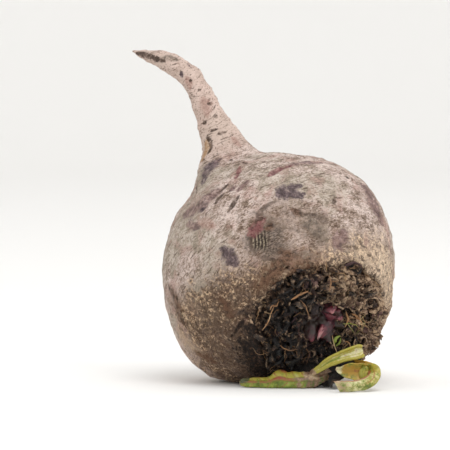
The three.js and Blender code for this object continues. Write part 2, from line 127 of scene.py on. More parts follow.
# Marks in the skin by name: kind, pixels of the picture that the mark runs through, half width.
MARKS = {
    "neck scrape": ("slate", [(205, 181), (208, 175), (212, 169), (217, 162)], 4.0),
    "neck scrape end": ("scuff", [(217, 163), (222, 158)], 1.2),
    "long scrape": ("scuff", [(183, 214), (192, 211), (198, 206), (204, 202), (211, 196), (218, 192)], 3.5),
    "long scrape end": ("dark", [(217, 193), (224, 188), (228, 183)], 0.7),
    "side scratch": ("dark", [(215, 204), (219, 198), (224, 193)], 0.8),
    "short scrape": ("slate", [(200, 212), (206, 207)], 0.9),
    "steep scratch": ("dark", [(228, 212), (232, 207), (235, 202), (239, 196)], 0.8),
    "flat scratch": ("scuff", [(238, 190), (243, 186), (248, 181)], 1.7),
    "broad scratch": ("scuff", [(229, 191), (235, 186)], 1.2),
    "neck sore": ("red", [(236, 178), (238, 172), (240, 166)], 1.2),
    "top scrape": ("red", [(268, 176), (279, 169), (291, 165)], 1.4),
    "top scrape end": ("scuff", [(280, 170), (289, 165), (303, 163), (321, 162)], 1.6),
    "upper patch": ("slate", [(278, 195), (283, 190), (290, 187), (300, 186)], 2.5),
    "lower patch": ("slate", [(279, 194), (289, 193), (301, 196)], 2.4),
    "patch middle": ("slate", [(284, 193), (293, 191)], 2.4),
    "patch spot": ("slate", [(303, 195), (305, 193)], 1.0),
    "left patch": ("slate", [(223, 249), (229, 256), (236, 263)], 3.0),
    "scar sore": ("red", [(251, 232), (255, 226), (261, 220)], 3.2),
    "scar top": ("dark", [(257, 219), (262, 217)], 0.9),
    "scar core": ("brown", [(266, 228), (271, 223)], 2.4),
    # The scar's rim and the brows are creases, painted darker as shade in the crease.
    "scar rim": ("fold", [(250, 236), (251, 246), (256, 255), (265, 259), (277, 257)], 0.8),
    "left brow": ("fold", [(252, 228), (257, 216), (263, 208), (271, 203), (280, 199)], 0.8),
    "brow": ("brown", [(293, 207), (299, 211), (304, 214)], 2.0),
    "right brow": ("fold", [(303, 212), (312, 213), (321, 216), (328, 220)], 0.8),
    "sunk skin": ("worn", [(262, 226), (285, 213), (305, 219), (322, 232)], 8.5),
    "worn spot": ("worn", [(206, 188), (214, 196)], 3.5),
    "scuffed side": ("scuff", [(186, 224), (199, 228)], 1.8),
    "hollow rim": ("red", [(344, 270), (344, 263), (349, 260), (360, 264)], 1.5),
    "burnt band": ("brown", [(258, 288), (276, 270), (296, 262), (322, 257)], 6.2),
    "burnt spot": ("brown", [(277, 263), (284, 259), (299, 255)], 5.0),
    "ledge": ("smooth", [(288, 262), (303, 260)], 1.4),
    "ledge shade": ("groove", [(286, 267), (298, 266)], 1.3),
    # A groove along the skin's lip over the crown, painted near black as the shadow under the overhanging
    # lip.
    "lip shadow line": (
        "groove", [(231, 337), (246, 318), (261, 301), (275, 286), (290, 274), (310, 267), (330, 266)], 1.3,
    ),
    # The dark inside of a small hollow by the stalk scar: painted shade.
    "stalk hollow shade": ("groove", [(350, 268), (356, 268), (362, 271)], 2.3),
    "left brown": ("brown", [(172, 291), (177, 306), (183, 321)], 5.4),
    "edge brown": ("brown", [(168, 284), (171, 296)], 1.8),
    "low brown": ("brown", [(196, 352), (214, 362)], 3.0),
    "mid brown": ("brown", [(222, 300), (232, 318)], 3.6),
    "low pale": ("smooth", [(180, 333), (190, 345), (201, 353)], 5.6),
    "dull spot": ("worn", [(168, 290), (176, 312)], 5.5),
    "dull band": ("worn", [(186, 300), (200, 316)], 5.0),
    "grey bruise": ("bruise", [(306, 217), (315, 226), (321, 238)], 6.2),
    # A small crease, painted darker as shade.
    "bruise spot": ("fold", [(321, 215), (327, 221)], 2.4),
    "rosy bruise": ("scuff", [(344, 232), (338, 244)], 4.0),
    "rosy edge": ("scuff", [(334, 236), (337, 245), (342, 250)], 1.4),
    "right scrape": ("scuff", [(364, 187), (371, 196), (376, 208), (380, 219)], 5.0),
    "rosy side": ("rose", [(200, 222), (213, 226)], 3.0),
    "pit": ("dark", [(334, 198), (334, 204)], 0.9),
    "high pit": ("dark", [(345, 177), (348, 179)], 0.9),
    "ochre cleft": ("ochre", [(206, 143), (206, 158)], 2.7),
    "cleft": ("dark", [(207, 136), (210, 142), (211, 148), (209, 154)], 0.8),
    "cleft foot": ("brown", [(205, 159), (208, 160)], 1.4),
    "neck dot": ("dark", [(230, 160), (232, 159)], 0.8),
    "neck pit": ("dark", [(233, 163), (234, 162)], 0.8),
    "neck crack": ("dark", [(238, 162), (241, 161)], 0.8),
    "neck crack end": ("dark", [(243, 162), (247, 164)], 1.0),
    "side crack": ("dark", [(202, 179), (197, 185), (195, 193)], 0.7),
    "low ring": ("dark", [(218, 134), (226, 132)], 0.8),
    "ring": ("dark", [(210, 131), (217, 129)], 0.7),
    "eye": ("dark", [(203, 124), (206, 121)], 1.0),
    "spot": ("dark", [(215, 115), (216, 117)], 0.9),
    "little spot": ("dark", [(209, 103), (209, 105)], 0.7),
    "small spot": ("dark", [(199, 89), (200, 91)], 0.6),
    "point": ("dark", [(189, 80), (191, 81)], 0.6),
    "tail patch": ("slate", [(180, 71), (182, 77)], 1.0),
    "tail bump": ("slate", [(187, 63), (192, 67)], 0.9),
    "tail grey": ("bruise", [(160, 58), (170, 57), (178, 60)], 1.6),
    "tail rose": ("rose", [(186, 78), (190, 88)], 2.2),
    "mid rose": ("rose", [(203, 98), (207, 116)], 2.6),
    "neck rose": ("rose", [(233, 138), (239, 145)], 2.2),
    "tip": ("dark", [(131, 51), (136, 53)], 1.3),
}

# The kinds of mark, painted in this order: darkest and lightest colour, softness and strength.
MARK_PAINTS = {
    "hollow": ("#6A574C", "#98816F", 2.2, 0.45),
    "worn": ("#5A4A3F", "#96806F", 1.2, 0.5),
    "smooth": ("#A28A72", "#C4AE96", 1.4, 0.7),
    "brown": ("#2A1B14", "#75543F", 1.0, 0.9),
    "bruise": ("#524840", "#857768", 0.9, 0.8),
    "rose": ("#7A5448", "#A87F72", 0.9, 0.6),
    "ochre": ("#8A6238", "#B08A5A", 0.6, 0.8),
    "scuff": ("#4C3A3A", "#8A6C68", 0.6, 0.85),
    "slate": ("#362B2F", "#6A585D", 0.5, 0.92),
    "red": ("#4C2026", "#8E5757", 0.5, 0.85),
    # Shaded folds: creases cut into the skin and painted darker as the shade in the crease.
    "fold": ("#463830", "#76655A", 0.7, 0.75),
    "dark": ("#33261F", "#5A463C", 0.4, 0.92),
    # Grooves are cut into the skin and painted near black: painted shade in cuts, in hollows and under a
    # ledge.
    "groove": ("#140E0C", "#2E211B", 0.5, 0.95),
}

# How deep each kind of mark is cut into the skin.
MARK_DEPTHS = {"slate": 0.14, "red": 0.18, "dark": 0.2, "fold": 0.3, "scuff": 0.1, "groove": 0.9}

# The marks on the sides that face away from the camera: how many, their kinds and half widths.
HIDDEN_MARKS = 44
HIDDEN_KINDS = ("slate", "slate", "red", "bruise", "rose", "dark", "dark")
HIDDEN_WIDTHS = {"bruise": 4, "rose": 3, "slate": 1.6, "red": 1.1, "dark": 0.8}

# The numbers that the materials read at each point of the skin and of the young leaves.
SKIN_FIELDS = ("latitude", "scurf", "soil", "grime", "fair", "scar", "streaks", "tail", *MARK_PAINTS)
LEAF_FIELDS = ("along", "across", "veined", "yellow", "orange", "pale", "rust", "withered", "dead")

# The eye scar: its middle and half size, and those of the streaked part at its lower left.
SCAR_PIXEL = (267, 240)
SCAR_SIZE = (8.2, 8.6)
STREAKS_PIXEL = (260.5, 240)
STREAKS_SIZE = (3.8, 4.2)

# The open scar of a young stalk in the lip over the crown: its middle and half size.
STALK_SCAR_PIXEL = (352, 268)
STALK_SCAR_SIZE = (3.7, 2.7)

# The shallow round hollow in the skin that the scar lies in.
HOLLOW_PIXEL = (291, 231)
HOLLOW_SIZE = (16.5, 12.5)

# Young leaves as stations: x, y, z of the rib, full width, then the direction across the blade.
LEAF_ROUTES = {
    "leaf_long": [
        (19.6, -17, 9.6, 3, 0.5, 0.5, 0.9),
        (20.6, -23, 8.4, 3, 0.3, 0.35, 1),
        (20.8, -28.4, 6.9, 3.2, 0.05, 0.2, 1),
        (18.4, -31.6, 5.2, 3.6, 0, 0.2, 1),
        (15.4, -33, 4, 4.2, 0, 0.2, 1),
        (12, -33.8, 3.3, 6, 0, 0.2, 1),
        (7.8, -34.2, 3.3, 6.4, 0, 0.2, 1),
        (3, -34, 3.2, 6.3, 0, 0.2, 1),
        (0.5, -33.8, 3.6, 7.3, 0, 0.2, 1),
        (-2, -33.4, 2.9, 5.6, 0, 0.2, 1),
        (-4, -32.9, 2.3, 4.4, 0, 0.25, 1),
        (-6.5, -32, 2.1, 3.9, 0, 0.3, 1),
        (-11, -30.4, 2.1, 3.7, 0, 0.3, 1),
        (-14.7, -28.8, 1.9, 2, 0, 0.3, 1),
    ],
    "leaf_stalk": [
        (15.6, -17, 8, 1.6, 1, 0.2, 0.3),
        (13.6, -25, 6.6, 1.5, 0.8, 0.2, 0.5),
        (12.2, -31.4, 5.6, 1.4, 0.3, 0.3, 1),
        (12.8, -34, 6.1, 1.4, -0.4, 0.2, 1),
        (15.3, -34.9, 7.7, 1.9, -0.45, 0.2, 1),
        (19.1, -35.8, 10.3, 3, -0.4, 0.15, 1),
        (24, -36.2, 12.3, 3.8, -0.3, 0.15, 1),
        (27.6, -36, 13.4, 4.5, -0.26, 0.15, 1),
        (30.4, -35.6, 14.1, 4.6, -0.26, 0.15, 1),
        (31.4, -35.4, 14.3, 3.2, -0.26, 0.15, 1),
    ],
    "leaf_curled": [
        (23.6, -15.6, 12.6, 3.4, -0.3, 0.4, 1),
        (24.6, -21.6, 9.8, 4.8, -0.2, 0.3, 1),
        (26.6, -27.4, 8.1, 6.6, -0.1, 0.25, 1),
        (29.6, -32.4, 7.3, 7, 0.05, 0.2, 1),
        (32.6, -37.6, 7.3, 6.4, 0.3, 0.15, 1),
        (34.8, -41.4, 8, 5, 0.75, 0.1, 0.65),
        (35.5, -44.6, 6.8, 4.6, 1, 0, 0.05),
        (34.6, -47.2, 4.7, 4.5, 0.8, 0, -0.6),
        (31.6, -49.4, 3, 4.4, 0.3, 0.05, -1),
        (27.4, -50.8, 2.3, 4.3, 0, 0.1, -1),
        (23.6, -51.8, 2.2, 4.3, 0, 0.1, -1),
        (20, -52.6, 2.2, 4.3, 0, 0.1, -1),
    ],
    "leaf_fold": [
        (34.2, -39.2, 7.3, 5, 0, 0.1, -1),
        (31.2, -40, 7.1, 6.5, 0, 0.1, -1),
        (27.4, -39.8, 7.2, 6.3, 0, 0.1, -1),
        (24.4, -39.2, 7.3, 4.4, 0, 0.1, -1),
        (22.4, -38.6, 7.6, 2, 0, 0.1, -1),
        (21.2, -38.2, 7.9, 0.8, 0, 0.1, -1),
    ],
    "leaf_lobe": [
        (31.8, -41.2, 3.6, 2, 1, -0.3, 0),
        (31.4, -41.6, 5.4, 3.4, 1, -0.2, 0),
        (31.8, -41.4, 7.4, 3.4, 1, -0.1, 0),
        (32.6, -41, 9, 1.6, 1, 0, 0),
    ],
}
# How each blade is made: its thickness, how much it cups, its rib, waves and pleats in
# millimetres, how ragged its edges are, where the cup turns over and how slanted its end is cut.
LEAF_SHAPES = {
    "leaf_long": {"thickness": 1.0, "channel": 1.1, "rib": 0.6, "wave": 0.4, "pleat": 0.5, "ragged": 0.14},
    "leaf_stalk": {"thickness": 1.5, "channel": 1.45, "rib": 0.0, "wave": 0, "pleat": 0, "ragged": 0.05},
    "leaf_curled": {
        "thickness": 1.1, "channel": 0.8, "rib": 0.2, "wave": 0.2, "pleat": 0.25, "ragged": 0.08,
        "turns_over": (25, 31), "slant": 2.6,
    },
    "leaf_fold": {"thickness": 0.7, "channel": 1.1, "rib": 0.2, "wave": 0.3, "pleat": 0.4, "ragged": 0.14},
    "leaf_lobe": {"thickness": 0.8, "channel": 1.1, "rib": 0.3, "wave": 0, "pleat": 0.3, "ragged": 0.1},
}
VEIN_GAP = 3.3

# Buds of the heart: place across the crown, radius, length and lean.
BUDS = [
    {"at": (2.9, 4.4), "radius": 3.3, "length": 5.6, "lean": (0, 0)},
    {"at": (3.4, -1), "radius": 2.9, "length": 7.4, "lean": (-0.75, -0.55)},
    {"at": (6.6, 0.8), "radius": 2.2, "length": 3.8, "lean": (0.3, 0)},
    {"at": (4.8, -4.2), "radius": 2, "length": 4, "lean": (0, -0.5)},
]

# The sorts of dead leaf base on the crown: ranges of place, lean, size and bend for each.
FLAKES = {
    "scales": {
        "reach": (8.5, 28), "sink": 0.9, "lift": (0, 0.6), "lean": (-1.3, 1.4), "jumble": 0.4,
        "width": (1.1, 3.3), "height": (2.4, 5.4), "curl": (-1.8, 1.9), "bow": (0.2, 2),
        "tone": 0, "tint": 0,
    },
    "crumbs": {
        "reach": (7, 28.4), "sink": 0.2, "lift": (0, 1.8), "lean": (-1.5, 1.5), "jumble": 1,
        "width": (0.7, 2), "height": (0.9, 2.8), "curl": (-1.5, 1.5), "bow": (0, 2),
        "tone": 0.14, "tint": 0.2,
    },
    "folds": {
        "reach": (8, 22), "sink": -0.4, "lift": (0, 1.2), "lean": (0.8, 1.5), "jumble": 0.16,
        "width": (1.3, 2.4), "height": (4, 7.4), "curl": (-1.1, 0.7), "bow": (1.2, 2.4),
        "tone": -0.1, "tint": 0,
    },
}

# Hollow broken stalk bases of the crown: pixel of the picture, radius, height, tone and tint.
STUBS = {
    "right cup": ((370, 304), 3.2, 2.4, 0.9, 0.5),
    "low grey": ((359, 340), 2.3, 2.6, 0.75, 0.6),
    "left black": ((303, 287), 3.2, 2.2, 0.1, -0.4),
    "dark loop": ((279, 356), 5.4, 2.6, 0.35, 0),
    "pale flake": ((293, 301), 1.6, 2.4, 1.1, 0.2),
}

# Dark dead leaf bases that hang under the crown behind the young leaves, standing in for the shadow there:
# top, bottom and width.
SHADE_HANGING_BASES = [
    ((12, -26, 10), (10, -30.4, 0.6), 8),
    ((17, -27, 11), (16.4, -31.2, 0.6), 8),
    ((21.6, -28, 12), (21.4, -33.6, 0.8), 7),
    ((25, -29, 12.6), (24.6, -35, 3.4), 6.4),
    ((28, -29, 13), (28.4, -33.4, 4.6), 6),
    ((27, -34, 7), (27.4, -38, 1), 10),
    ((22.4, -35, 6.2), (22.6, -39.6, 0.7), 8),
]

# Single strands of the crown: pixels of the picture that they run through, radius and tone.
STRANDS = {
    "pale strand": ([(274, 306), (271, 314), (268, 321), (262, 330)], 0.24, 0.66),
    "orange strip": ([(291, 300), (299, 295), (308, 291)], 0.42, 0.55),
    "curl": ([(279, 301), (276, 306), (272, 306), (270, 310)], 0.3, 0.6),
    "thin stalk": ([(332, 327), (333, 340), (338, 355)], 0.2, 0.8),
    "green shoot": ([(334, 345), (335, 339), (340, 336)], 0.75, 1.3),
    "shoot side": ([(336, 346), (339, 343), (341, 338)], 0.45, 1.25),
    "pink curl": ([(343, 346), (345, 342), (349, 343), (351, 349)], 0.26, 0.65),
    "tan strip": ([(345, 327), (348, 320), (346, 311)], 0.4, 0.66),
    "grey strip": ([(352, 314), (357, 317), (362, 323)], 0.5, 0.62),
    "upper curl": ([(329, 275), (331, 283), (329, 291)], 0.24, 0.6),
    "left fibre": ([(300, 300), (306, 307), (309, 318)], 0.16, 0.5),
    "low fibre": ([(280, 345), (288, 350), (297, 349)], 0.18, 0.45),
}

# How thick a single strand is along its length, as a share of its radius.
STRAND_TAPER = (0.4, 0.7, 0.9, 1.1, 1, 1.1, 0.9, 0.7, 0.4)

# The tones of the fibres that a seeded rule sets out, and how many rootlets there are.
FIBRE_TONES = (0.15, 0.45, 0.7)
ROOTLETS = 90

# The tangle of thin fibres to the right of the buds: its middle and half size in pixels.
NEST = {"pixel": (356, 322), "spread": (10, 8), "count": 16}

# The round floor bends up into a wall: its flat radius, the radius of the bend, the wall's height
# and the steps of the bend, in metres. Lights: place, size and the setting that holds the power.
FLOOR = {"radius": 2.6, "bend": 0.8, "wall": 1.4, "steps": 12}
LIGHTS = {
    "key": ((0.35, -1.0, 1.8), 1.1, "key_power"),
    "fill": ((1.6, -1.3, 0.9), 1.2, "fill_power"),
}


def linear(colour):
    """An sRGB hex colour as linear red, green, blue and an alpha of 1."""
    parts = [int(colour[i : i + 2], 16) / 255 for i in (1, 3, 5)]
    return tuple(c / 12.92 if c <= 0.04045 else ((c + 0.055) / 1.055) ** 2.4 for c in parts) + (1.0,)


def painted(value):
    """A hex colour as linear numbers, and any other value as it is."""
    return linear(value) if isinstance(value, str) else value


def colour_property(name, description, colour):
    return bpy.props.FloatVectorProperty(
        name=name, description=description, default=linear(colour), size=4, min=0, max=1, subtype="COLOR"
    )


def length_property(name, description, value, low, high):
    return bpy.props.FloatProperty(
        name=name, description=description, default=value * MM, min=low * MM, max=high * MM,
        subtype="DISTANCE", unit="LENGTH", precision=5,
    )


class SkinSettings(bpy.types.PropertyGroup):
    """Sizes and colours of the root's skin."""

    mesh_size: length_property("Mesh size", "Size of the faces of the skin's mesh", 0.72, 0.5, 3)
    wrinkle_height: length_property("Wrinkle height", "Height of the fine rings round the root", 0.28, 0, 1)
    scurf_height: length_property("Scurf height", "Height of the corky scurf round the crown", 0.6, 0, 2)
    pale: colour_property("Pale skin", "The lightest bare skin", "#D8C7BE")
    tan: colour_property("Tan skin", "Most of the skin", "#AF9B92")
    grey: colour_property("Grey skin", "The cooler skin between", "#A9A290")
    fleck: colour_property("Flecks", "Fine dark flecks and cracks", "#5C4A3E")
    scurf: colour_property("Scurf", "Light corky grains", "#DCC2A0")
    brown: colour_property("Brown", "Brown corky grains", "#694C36")
    soil: colour_property("Soil", "Dry soil in the hollows by the crown", "#1D140F")


class CrownSettings(bpy.types.PropertyGroup):
    """Sizes, counts and colours of the crown, its fibres and its buds."""

    mesh_size: length_property("Mesh size", "Size of the faces of the crown's mesh", 0.46, 0.4, 3)
    scales: bpy.props.IntProperty(
        name="Scales", description="How many thin dead leaf bases there are", default=520, min=20, max=700
    )
    crumbs: bpy.props.IntProperty(
        name="Crumbs", description="How many small broken bits there are", default=900, min=0, max=1200
    )
    folds: bpy.props.IntProperty(
        name="Folds", description="How many long folded dead stalks there are", default=50, min=0, max=90
    )
    fibres: bpy.props.IntProperty(
        name="Fibres", description="How many dry fibres stand out", default=260, min=0, max=900
    )
    dark: colour_property("Dark", "The oldest, rotted leaf bases", "#120D0B")
    brown: colour_property("Brown", "Dry leaf bases", "#57402F")
    # The edge colour also serves as a painted highlight on the tips and ridges.
    edge: colour_property("Edge", "Their frayed light edges", "#C4A789")
    fibre: colour_property("Fibre", "Dry fibres", "#C2A67F")
    bud: colour_property("Bud", "Fresh buds", "#6C2833")
    bud_tip: colour_property("Bud tip", "Brownish pink bud tips", "#A86A6C")


class LeafSettings(bpy.types.PropertyGroup):
    """Colours of the young leaves."""

    green: colour_property("Green", "The blade's green", "#76842C")
    yellow: colour_property("Yellow", "Lighter, yellower green", "#A6983C")
    orange: colour_property("Orange", "The curled leaf's orange-yellow inside", "#B0862E")
    pale: colour_property("Pale", "The pale band and the stalk's channel", "#C6C28E")
    vein: colour_property("Vein", "Red midribs and veins", "#8E3E2C")
    withered: colour_property("Withered", "Brown-pink withered leaf", "#856650")
    tip: colour_property("Tip", "The dead dark tip", "#4A5036")


class StageSettings(bpy.types.PropertyGroup):
    """The floor and the light."""

    floor: colour_property("Floor", "The plain pale floor", "#F4F3F1")
    key_power: bpy.props.FloatProperty(
        name="Key light", description="Power of the large soft light", default=15, min=0, max=500,
        subtype="POWER",
    )
    fill_power: bpy.props.FloatProperty(
        name="Fill light", description="Power of the fill light", default=5, min=0, max=500, subtype="POWER"
    )
    sky: bpy.props.FloatProperty(
        name="Sky", description="Strength of the even light from all round", default=1.0, min=0, max=5
    )


def points_of(piece):
    """A mesh's vertices in millimetres."""
    flat = np.empty(len(piece.data.vertices) * 3, np.float32)
    piece.data.vertices.foreach_get("co", flat)
    return flat.reshape(-1, 3).astype(float) / MM


def set_points(piece, points):
    piece.data.vertices.foreach_set("co", (np.asarray(points) * MM).astype(np.float32).ravel())
    piece.data.update()


def normals_of(piece):
    flat = np.empty(len(piece.data.vertices) * 3, np.float32)
    piece.data.vertices.foreach_get("normal", flat)
    return flat.reshape(-1, 3).astype(float)


def set_field(piece, name, values):
    """A number for each vertex, which a material reads by name."""
    mesh = piece.data
    made = mesh.attributes.get(name) or mesh.attributes.new(name, "FLOAT", "POINT")
    made.data.foreach_set("value", np.asarray(values, np.float32))


def field_of(piece, name):
    values = np.empty(len(piece.data.vertices), np.float32)
    piece.data.attributes[name].data.foreach_get("value", values)
    return values.astype(float)


def set_weights(piece, name, values):
    """A vertex group with a weight for each vertex, in steps of a hundredth."""
    group = piece.vertex_groups.new(name=name)
    steps = np.round(np.clip(values, 0, 1) * 100).astype(int)
    for step in np.unique(steps):
        group.add(np.flatnonzero(steps == step).tolist(), step / 100, "REPLACE")


def pick(*pieces):
    """Only these objects selected, with the first one active."""
    bpy.ops.object.select_all(action="DESELECT")
    for piece in pieces:
        piece.select_set(True)
    bpy.context.view_layer.objects.active = pieces[0]


def shaped_by(piece, kind, **settings):
    """A modifier put on a piece and applied."""
    pick(piece)
    modifier = piece.modifiers.new(kind.lower(), kind)
    for name, value in settings.items():
        setattr(modifier, name, value)
    bpy.ops.object.modifier_apply(modifier=modifier.name)


def joined(pieces):
    pick(*pieces)
    if len(pieces) > 1:
        bpy.ops.object.join()
    return pieces[0]


def finished(piece, name, material, slot, *nodes):
    """A piece with its name, material and smooth shading, riding on the body for its nodes."""
    piece.name = name
    piece.data.name = name
    piece.data.materials.clear()
    piece.data.materials.append(material)
    piece.vertex_groups.clear()
    pick(piece)
    bpy.ops.object.shade_smooth()
    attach(piece, "root")
    if nodes:
        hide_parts(*nodes)
    return piece


def copy_of(node_name):
    """A copy of a frame node with its own mesh, its loose triangles merged."""
    piece = bpy.data.objects.new(node_name + "_copy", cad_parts[node_name].data.copy())
    bpy.context.scene.collection.objects.link(piece)
    pick(piece)
    bpy.ops.object.mode_set(mode="EDIT")
    bpy.ops.mesh.select_all(action="SELECT")
    bpy.ops.mesh.remove_doubles(threshold=1e-6)
    bpy.ops.object.mode_set(mode="OBJECT")
    return piece


def flat_grid(columns, rows):
    """A flat unit grid to be shaped, with u and v of each vertex from 0 to 1."""
    bpy.ops.object.select_all(action="DESELECT")
    bpy.ops.mesh.primitive_grid_add(x_subdivisions=columns, y_subdivisions=rows, size=1)
    piece = bpy.context.active_object
    places = points_of(piece) * MM
    return piece, places[:, 0] + 0.5, places[:, 1] + 0.5


def shaped_copies(grid, shapes):
    """Copies of a grid, each with its own mesh at its own points with its own fields, as one piece."""
    pieces = []
    for points, fields in shapes:
        piece = grid.copy()
        piece.data = grid.data.copy()
        bpy.context.scene.collection.objects.link(piece)
        set_points(piece, points)
        for name, values in fields.items():
            set_field(piece, name, values)
        pieces.append(piece)
    bpy.data.objects.remove(grid)
    return joined(pieces)


def roughen(piece, name, size, height):
    """Cloudy relief over a piece, with features of a size and a height in millimetres."""
    clouds = bpy.data.textures.new(name, "CLOUDS")
    clouds.noise_scale = size * MM
    clouds.noise_depth = 2
    shaped_by(piece, "DISPLACE", texture=clouds, texture_coords="LOCAL", strength=height * MM, mid_level=0.5)


def uneven(points, size, octaves=3, shift=0.0):
    """A smooth uneven field over space, about -1 to 1, with features of a size in millimetres."""
    rows = np.asarray(points) / size + shift
    return np.array([noise.fractal(Vector(row), 0.9, 2.1, octaves) for row in rows])


def ridged(points, size, octaves=2, shift=0.0):
    """Creased like crumpled paper: 1 on the sharp ridges, falling to about 0 between them."""
    return np.clip(1 - 2.2 * np.abs(uneven(points, size, octaves, shift)), -0.3, 1)


def crumpled(points, size, height):
    """Points pushed about in all directions by a smooth field, up to about half a height."""
    noise.seed_set(SEED)
    pushes = np.array([noise.noise_vector(Vector(row)) for row in np.asarray(points) / size])
    return points + height * pushes


def smooth_step(value, low, high):
    share = np.clip((value - low) / (high - low), 0, 1)
    return share * share * (3 - 2 * share)


def hump(value, middle, width):
    """1 at a middle value, falling off to either side of it over a width."""
    return np.exp(-(((value - middle) / width) ** 2))


def any_way(draw):
    """Three seeded numbers about 0, as a push or a direction that may be any."""
    return np.array([draw.gauss(0, 1) for _ in range(3)])


def above_floor(points, level):
    """Points with those below a level lifted to it."""
    return np.maximum(points, (-np.inf, -np.inf, level))


def surface_of(*pieces):
    """The surface of some pieces together, to cast rays at."""
    corners, faces = [], []
    for piece in pieces:
        first = len(corners)
        corners += [vertex.co.copy() for vertex in piece.data.vertices]
        faces += [[first + corner for corner in face.vertices] for face in piece.data.polygons]
    return BVHTree.FromPolygons(corners, faces)


def seen_at(surface, pixel):
    """Where the camera's ray through a pixel of the picture meets a surface."""
    right = MM_PER_PIXEL * (pixel[0] - PICTURE_PIXELS / 2)
    rise = MM_PER_PIXEL * (PICTURE_PIXELS / 2 - pixel[1])
    aim = np.array(VIEW_CENTRE) + right * np.array([1, 0, 0]) + rise * VIEW_UP
    hit = surface.ray_cast(Vector(VIEW_EYE * MM), Vector(unit(aim - VIEW_EYE)))[0]
    if hit is None:
        hit = surface.find_nearest(Vector(aim * MM))[0]
    return np.array(hit) / MM


def latitude(points):
    """How far along the root a point is, from the crown's middle over the body to the taproot."""
    arm = points - BODY_CENTRE
    far = np.linalg.norm(arm, axis=1)
    way = unit(arm)
    from_crown = np.arccos(np.clip(way @ CROWN_AXIS, -1, 1))
    from_tail = np.arccos(np.clip(way @ TAPROOT_WAY, -1, 1))
    round_body = math.pi * BODY_RADIUS * from_crown / (from_crown + from_tail + 1e-6)
    return round_body + np.maximum(far - BODY_RADIUS, 0)


def crown_polar(points):
    """Azimuth round the crown and angle from its axis, in degrees, seen from the body's centre."""
    way = unit(points - BODY_CENTRE)
    angle = np.degrees(np.arccos(np.clip(way @ CROWN_AXIS, -1, 1)))
    azimuth = np.degrees(np.arctan2(way @ CROWN_UP, way @ CROWN_RIGHT))
    return azimuth, angle


def lip_at(azimuth):
    """The angle from the crown's axis at which the skin's lip ends."""
    return SEAT_ANGLE - np.interp(azimuth, LIP_AZIMUTH, LIP_PULL, period=360)


def sink_at(azimuth):
    """How deep the crown lies under the skin's lip at an azimuth."""
    return np.interp(azimuth, RIM_AZIMUTH, RIM_SINK, period=360)


def across_crown(points):
    """How far right and up of the crown's axis points are."""
    arm = points - BODY_CENTRE
    return arm @ CROWN_RIGHT, arm @ CROWN_UP


def drawn_in(points):
    """Points by the crown's edge moved towards its axis, as far as the skin's lip grows over it."""
    azimuth, angle = crown_polar(points)
    near = smooth_step(angle, 10, SEAT_ANGLE) * smooth_step(angle, 62, SEAT_ANGLE)
    turn = np.radians(angle - (SEAT_ANGLE - lip_at(azimuth)) * near)[:, None]
    arm = points - BODY_CENTRE
    side = unit(arm - (arm @ CROWN_AXIS)[:, None] * CROWN_AXIS)
    far = np.linalg.norm(arm, axis=1)[:, None]
    moved = BODY_CENTRE + far * (np.cos(turn) * CROWN_AXIS + np.sin(turn) * side)
    return np.where(near[:, None] > 0, moved, points)


def sunk(points):
    """Points of the crown lowered where the skin's lip stands over them."""
    azimuth, angle = crown_polar(points)
    depth = sink_at(azimuth) * smooth_step(lip_at(azimuth) - angle, 10, 3)
    return points - depth[:, None] * CROWN_AXIS


def on_crown(right, up, out):
    return BODY_CENTRE + right * CROWN_RIGHT + up * CROWN_UP + out * CROWN_AXIS


def mark_field(points, route, width):
    """1 on a mark's middle line, 0 at its outline and -1 well outside."""
    lengths = [np.linalg.norm(b - a) for a, b in zip(route, route[1:])]
    field = np.full(len(points), -1.0)
    passed = 0
    for a, b, length in zip(route, route[1:], lengths):
        share = np.clip((points - a) @ (b - a) / length**2, 0, 1)
        away = np.linalg.norm(points - a - share[:, None] * (b - a), axis=1)
        place = (passed + share * length) / sum(lengths)
        taper = 1 - 0.5 * (2 * place - 1) ** 2
        field = np.maximum(field, 1 - away / (width * taper))
        passed += length
    return field


def hidden_marks():
    """Marks on the sides that face away from the camera, set out by a seeded rule."""
    draw = random.Random(SEED)
    marks = []
    while len(marks) < HIDDEN_MARKS:
        way = unit(any_way(draw))
        if way[1] < 0.1 or way @ CROWN_AXIS > 0.4 or way @ TAPROOT_WAY > 0.9:
            continue
        ring = unit(np.cross(way, TAPROOT_WAY) + 0.35 * draw.uniform(-1, 1) * TAPROOT_WAY)
        half = draw.uniform(1, 6)
        steps = (-half, 0, half)
        route = [BODY_CENTRE + BODY_RADIUS * unit(BODY_RADIUS * way + step * ring) for step in steps]
        kind = draw.choice(HIDDEN_KINDS)
        marks.append((kind, route, HIDDEN_WIDTHS[kind] * draw.uniform(0.7, 1.4)))
    return marks


# Settings that several shader nodes share.
SMOOTH = {"interpolation_type": "SMOOTHSTEP"}
COLOURS = {"data_type": "RGBA"}


def node(tree, kind, inputs=None, output=0, stops=None, **settings):
    """Adds a node with its settings and its inputs' values or links, and gives one output."""
    made = tree.nodes.new("ShaderNode" + kind)
    for name, value in settings.items():
        setattr(made, name, value)
    for name, value in (inputs or {}).items():
        if isinstance(value, bpy.types.NodeSocket):
            tree.links.new(value, made.inputs[name])
        else:
            made.inputs[name].default_value = painted(value)
    for index, (position, colour) in enumerate(stops or []):
        steps = made.color_ramp.elements
        step = steps[index] if index < 2 else steps.new(position)
        step.position = position
        step.color = painted(colour)
    return made.outputs[output] if len(made.outputs) else None


def new_material(name, field_names=()):
    """A new material, its empty node tree, the place on the object and the mesh's fields by name."""
    material = bpy.data.materials.new(name)
    material.use_nodes = True
    tree = material.node_tree
    tree.nodes.clear()
    place = node(tree, "TexCoord", output=3)
    fields = {field: node(tree, "Attribute", output=2, attribute_name=field) for field in field_names}
    return material, tree, place, fields


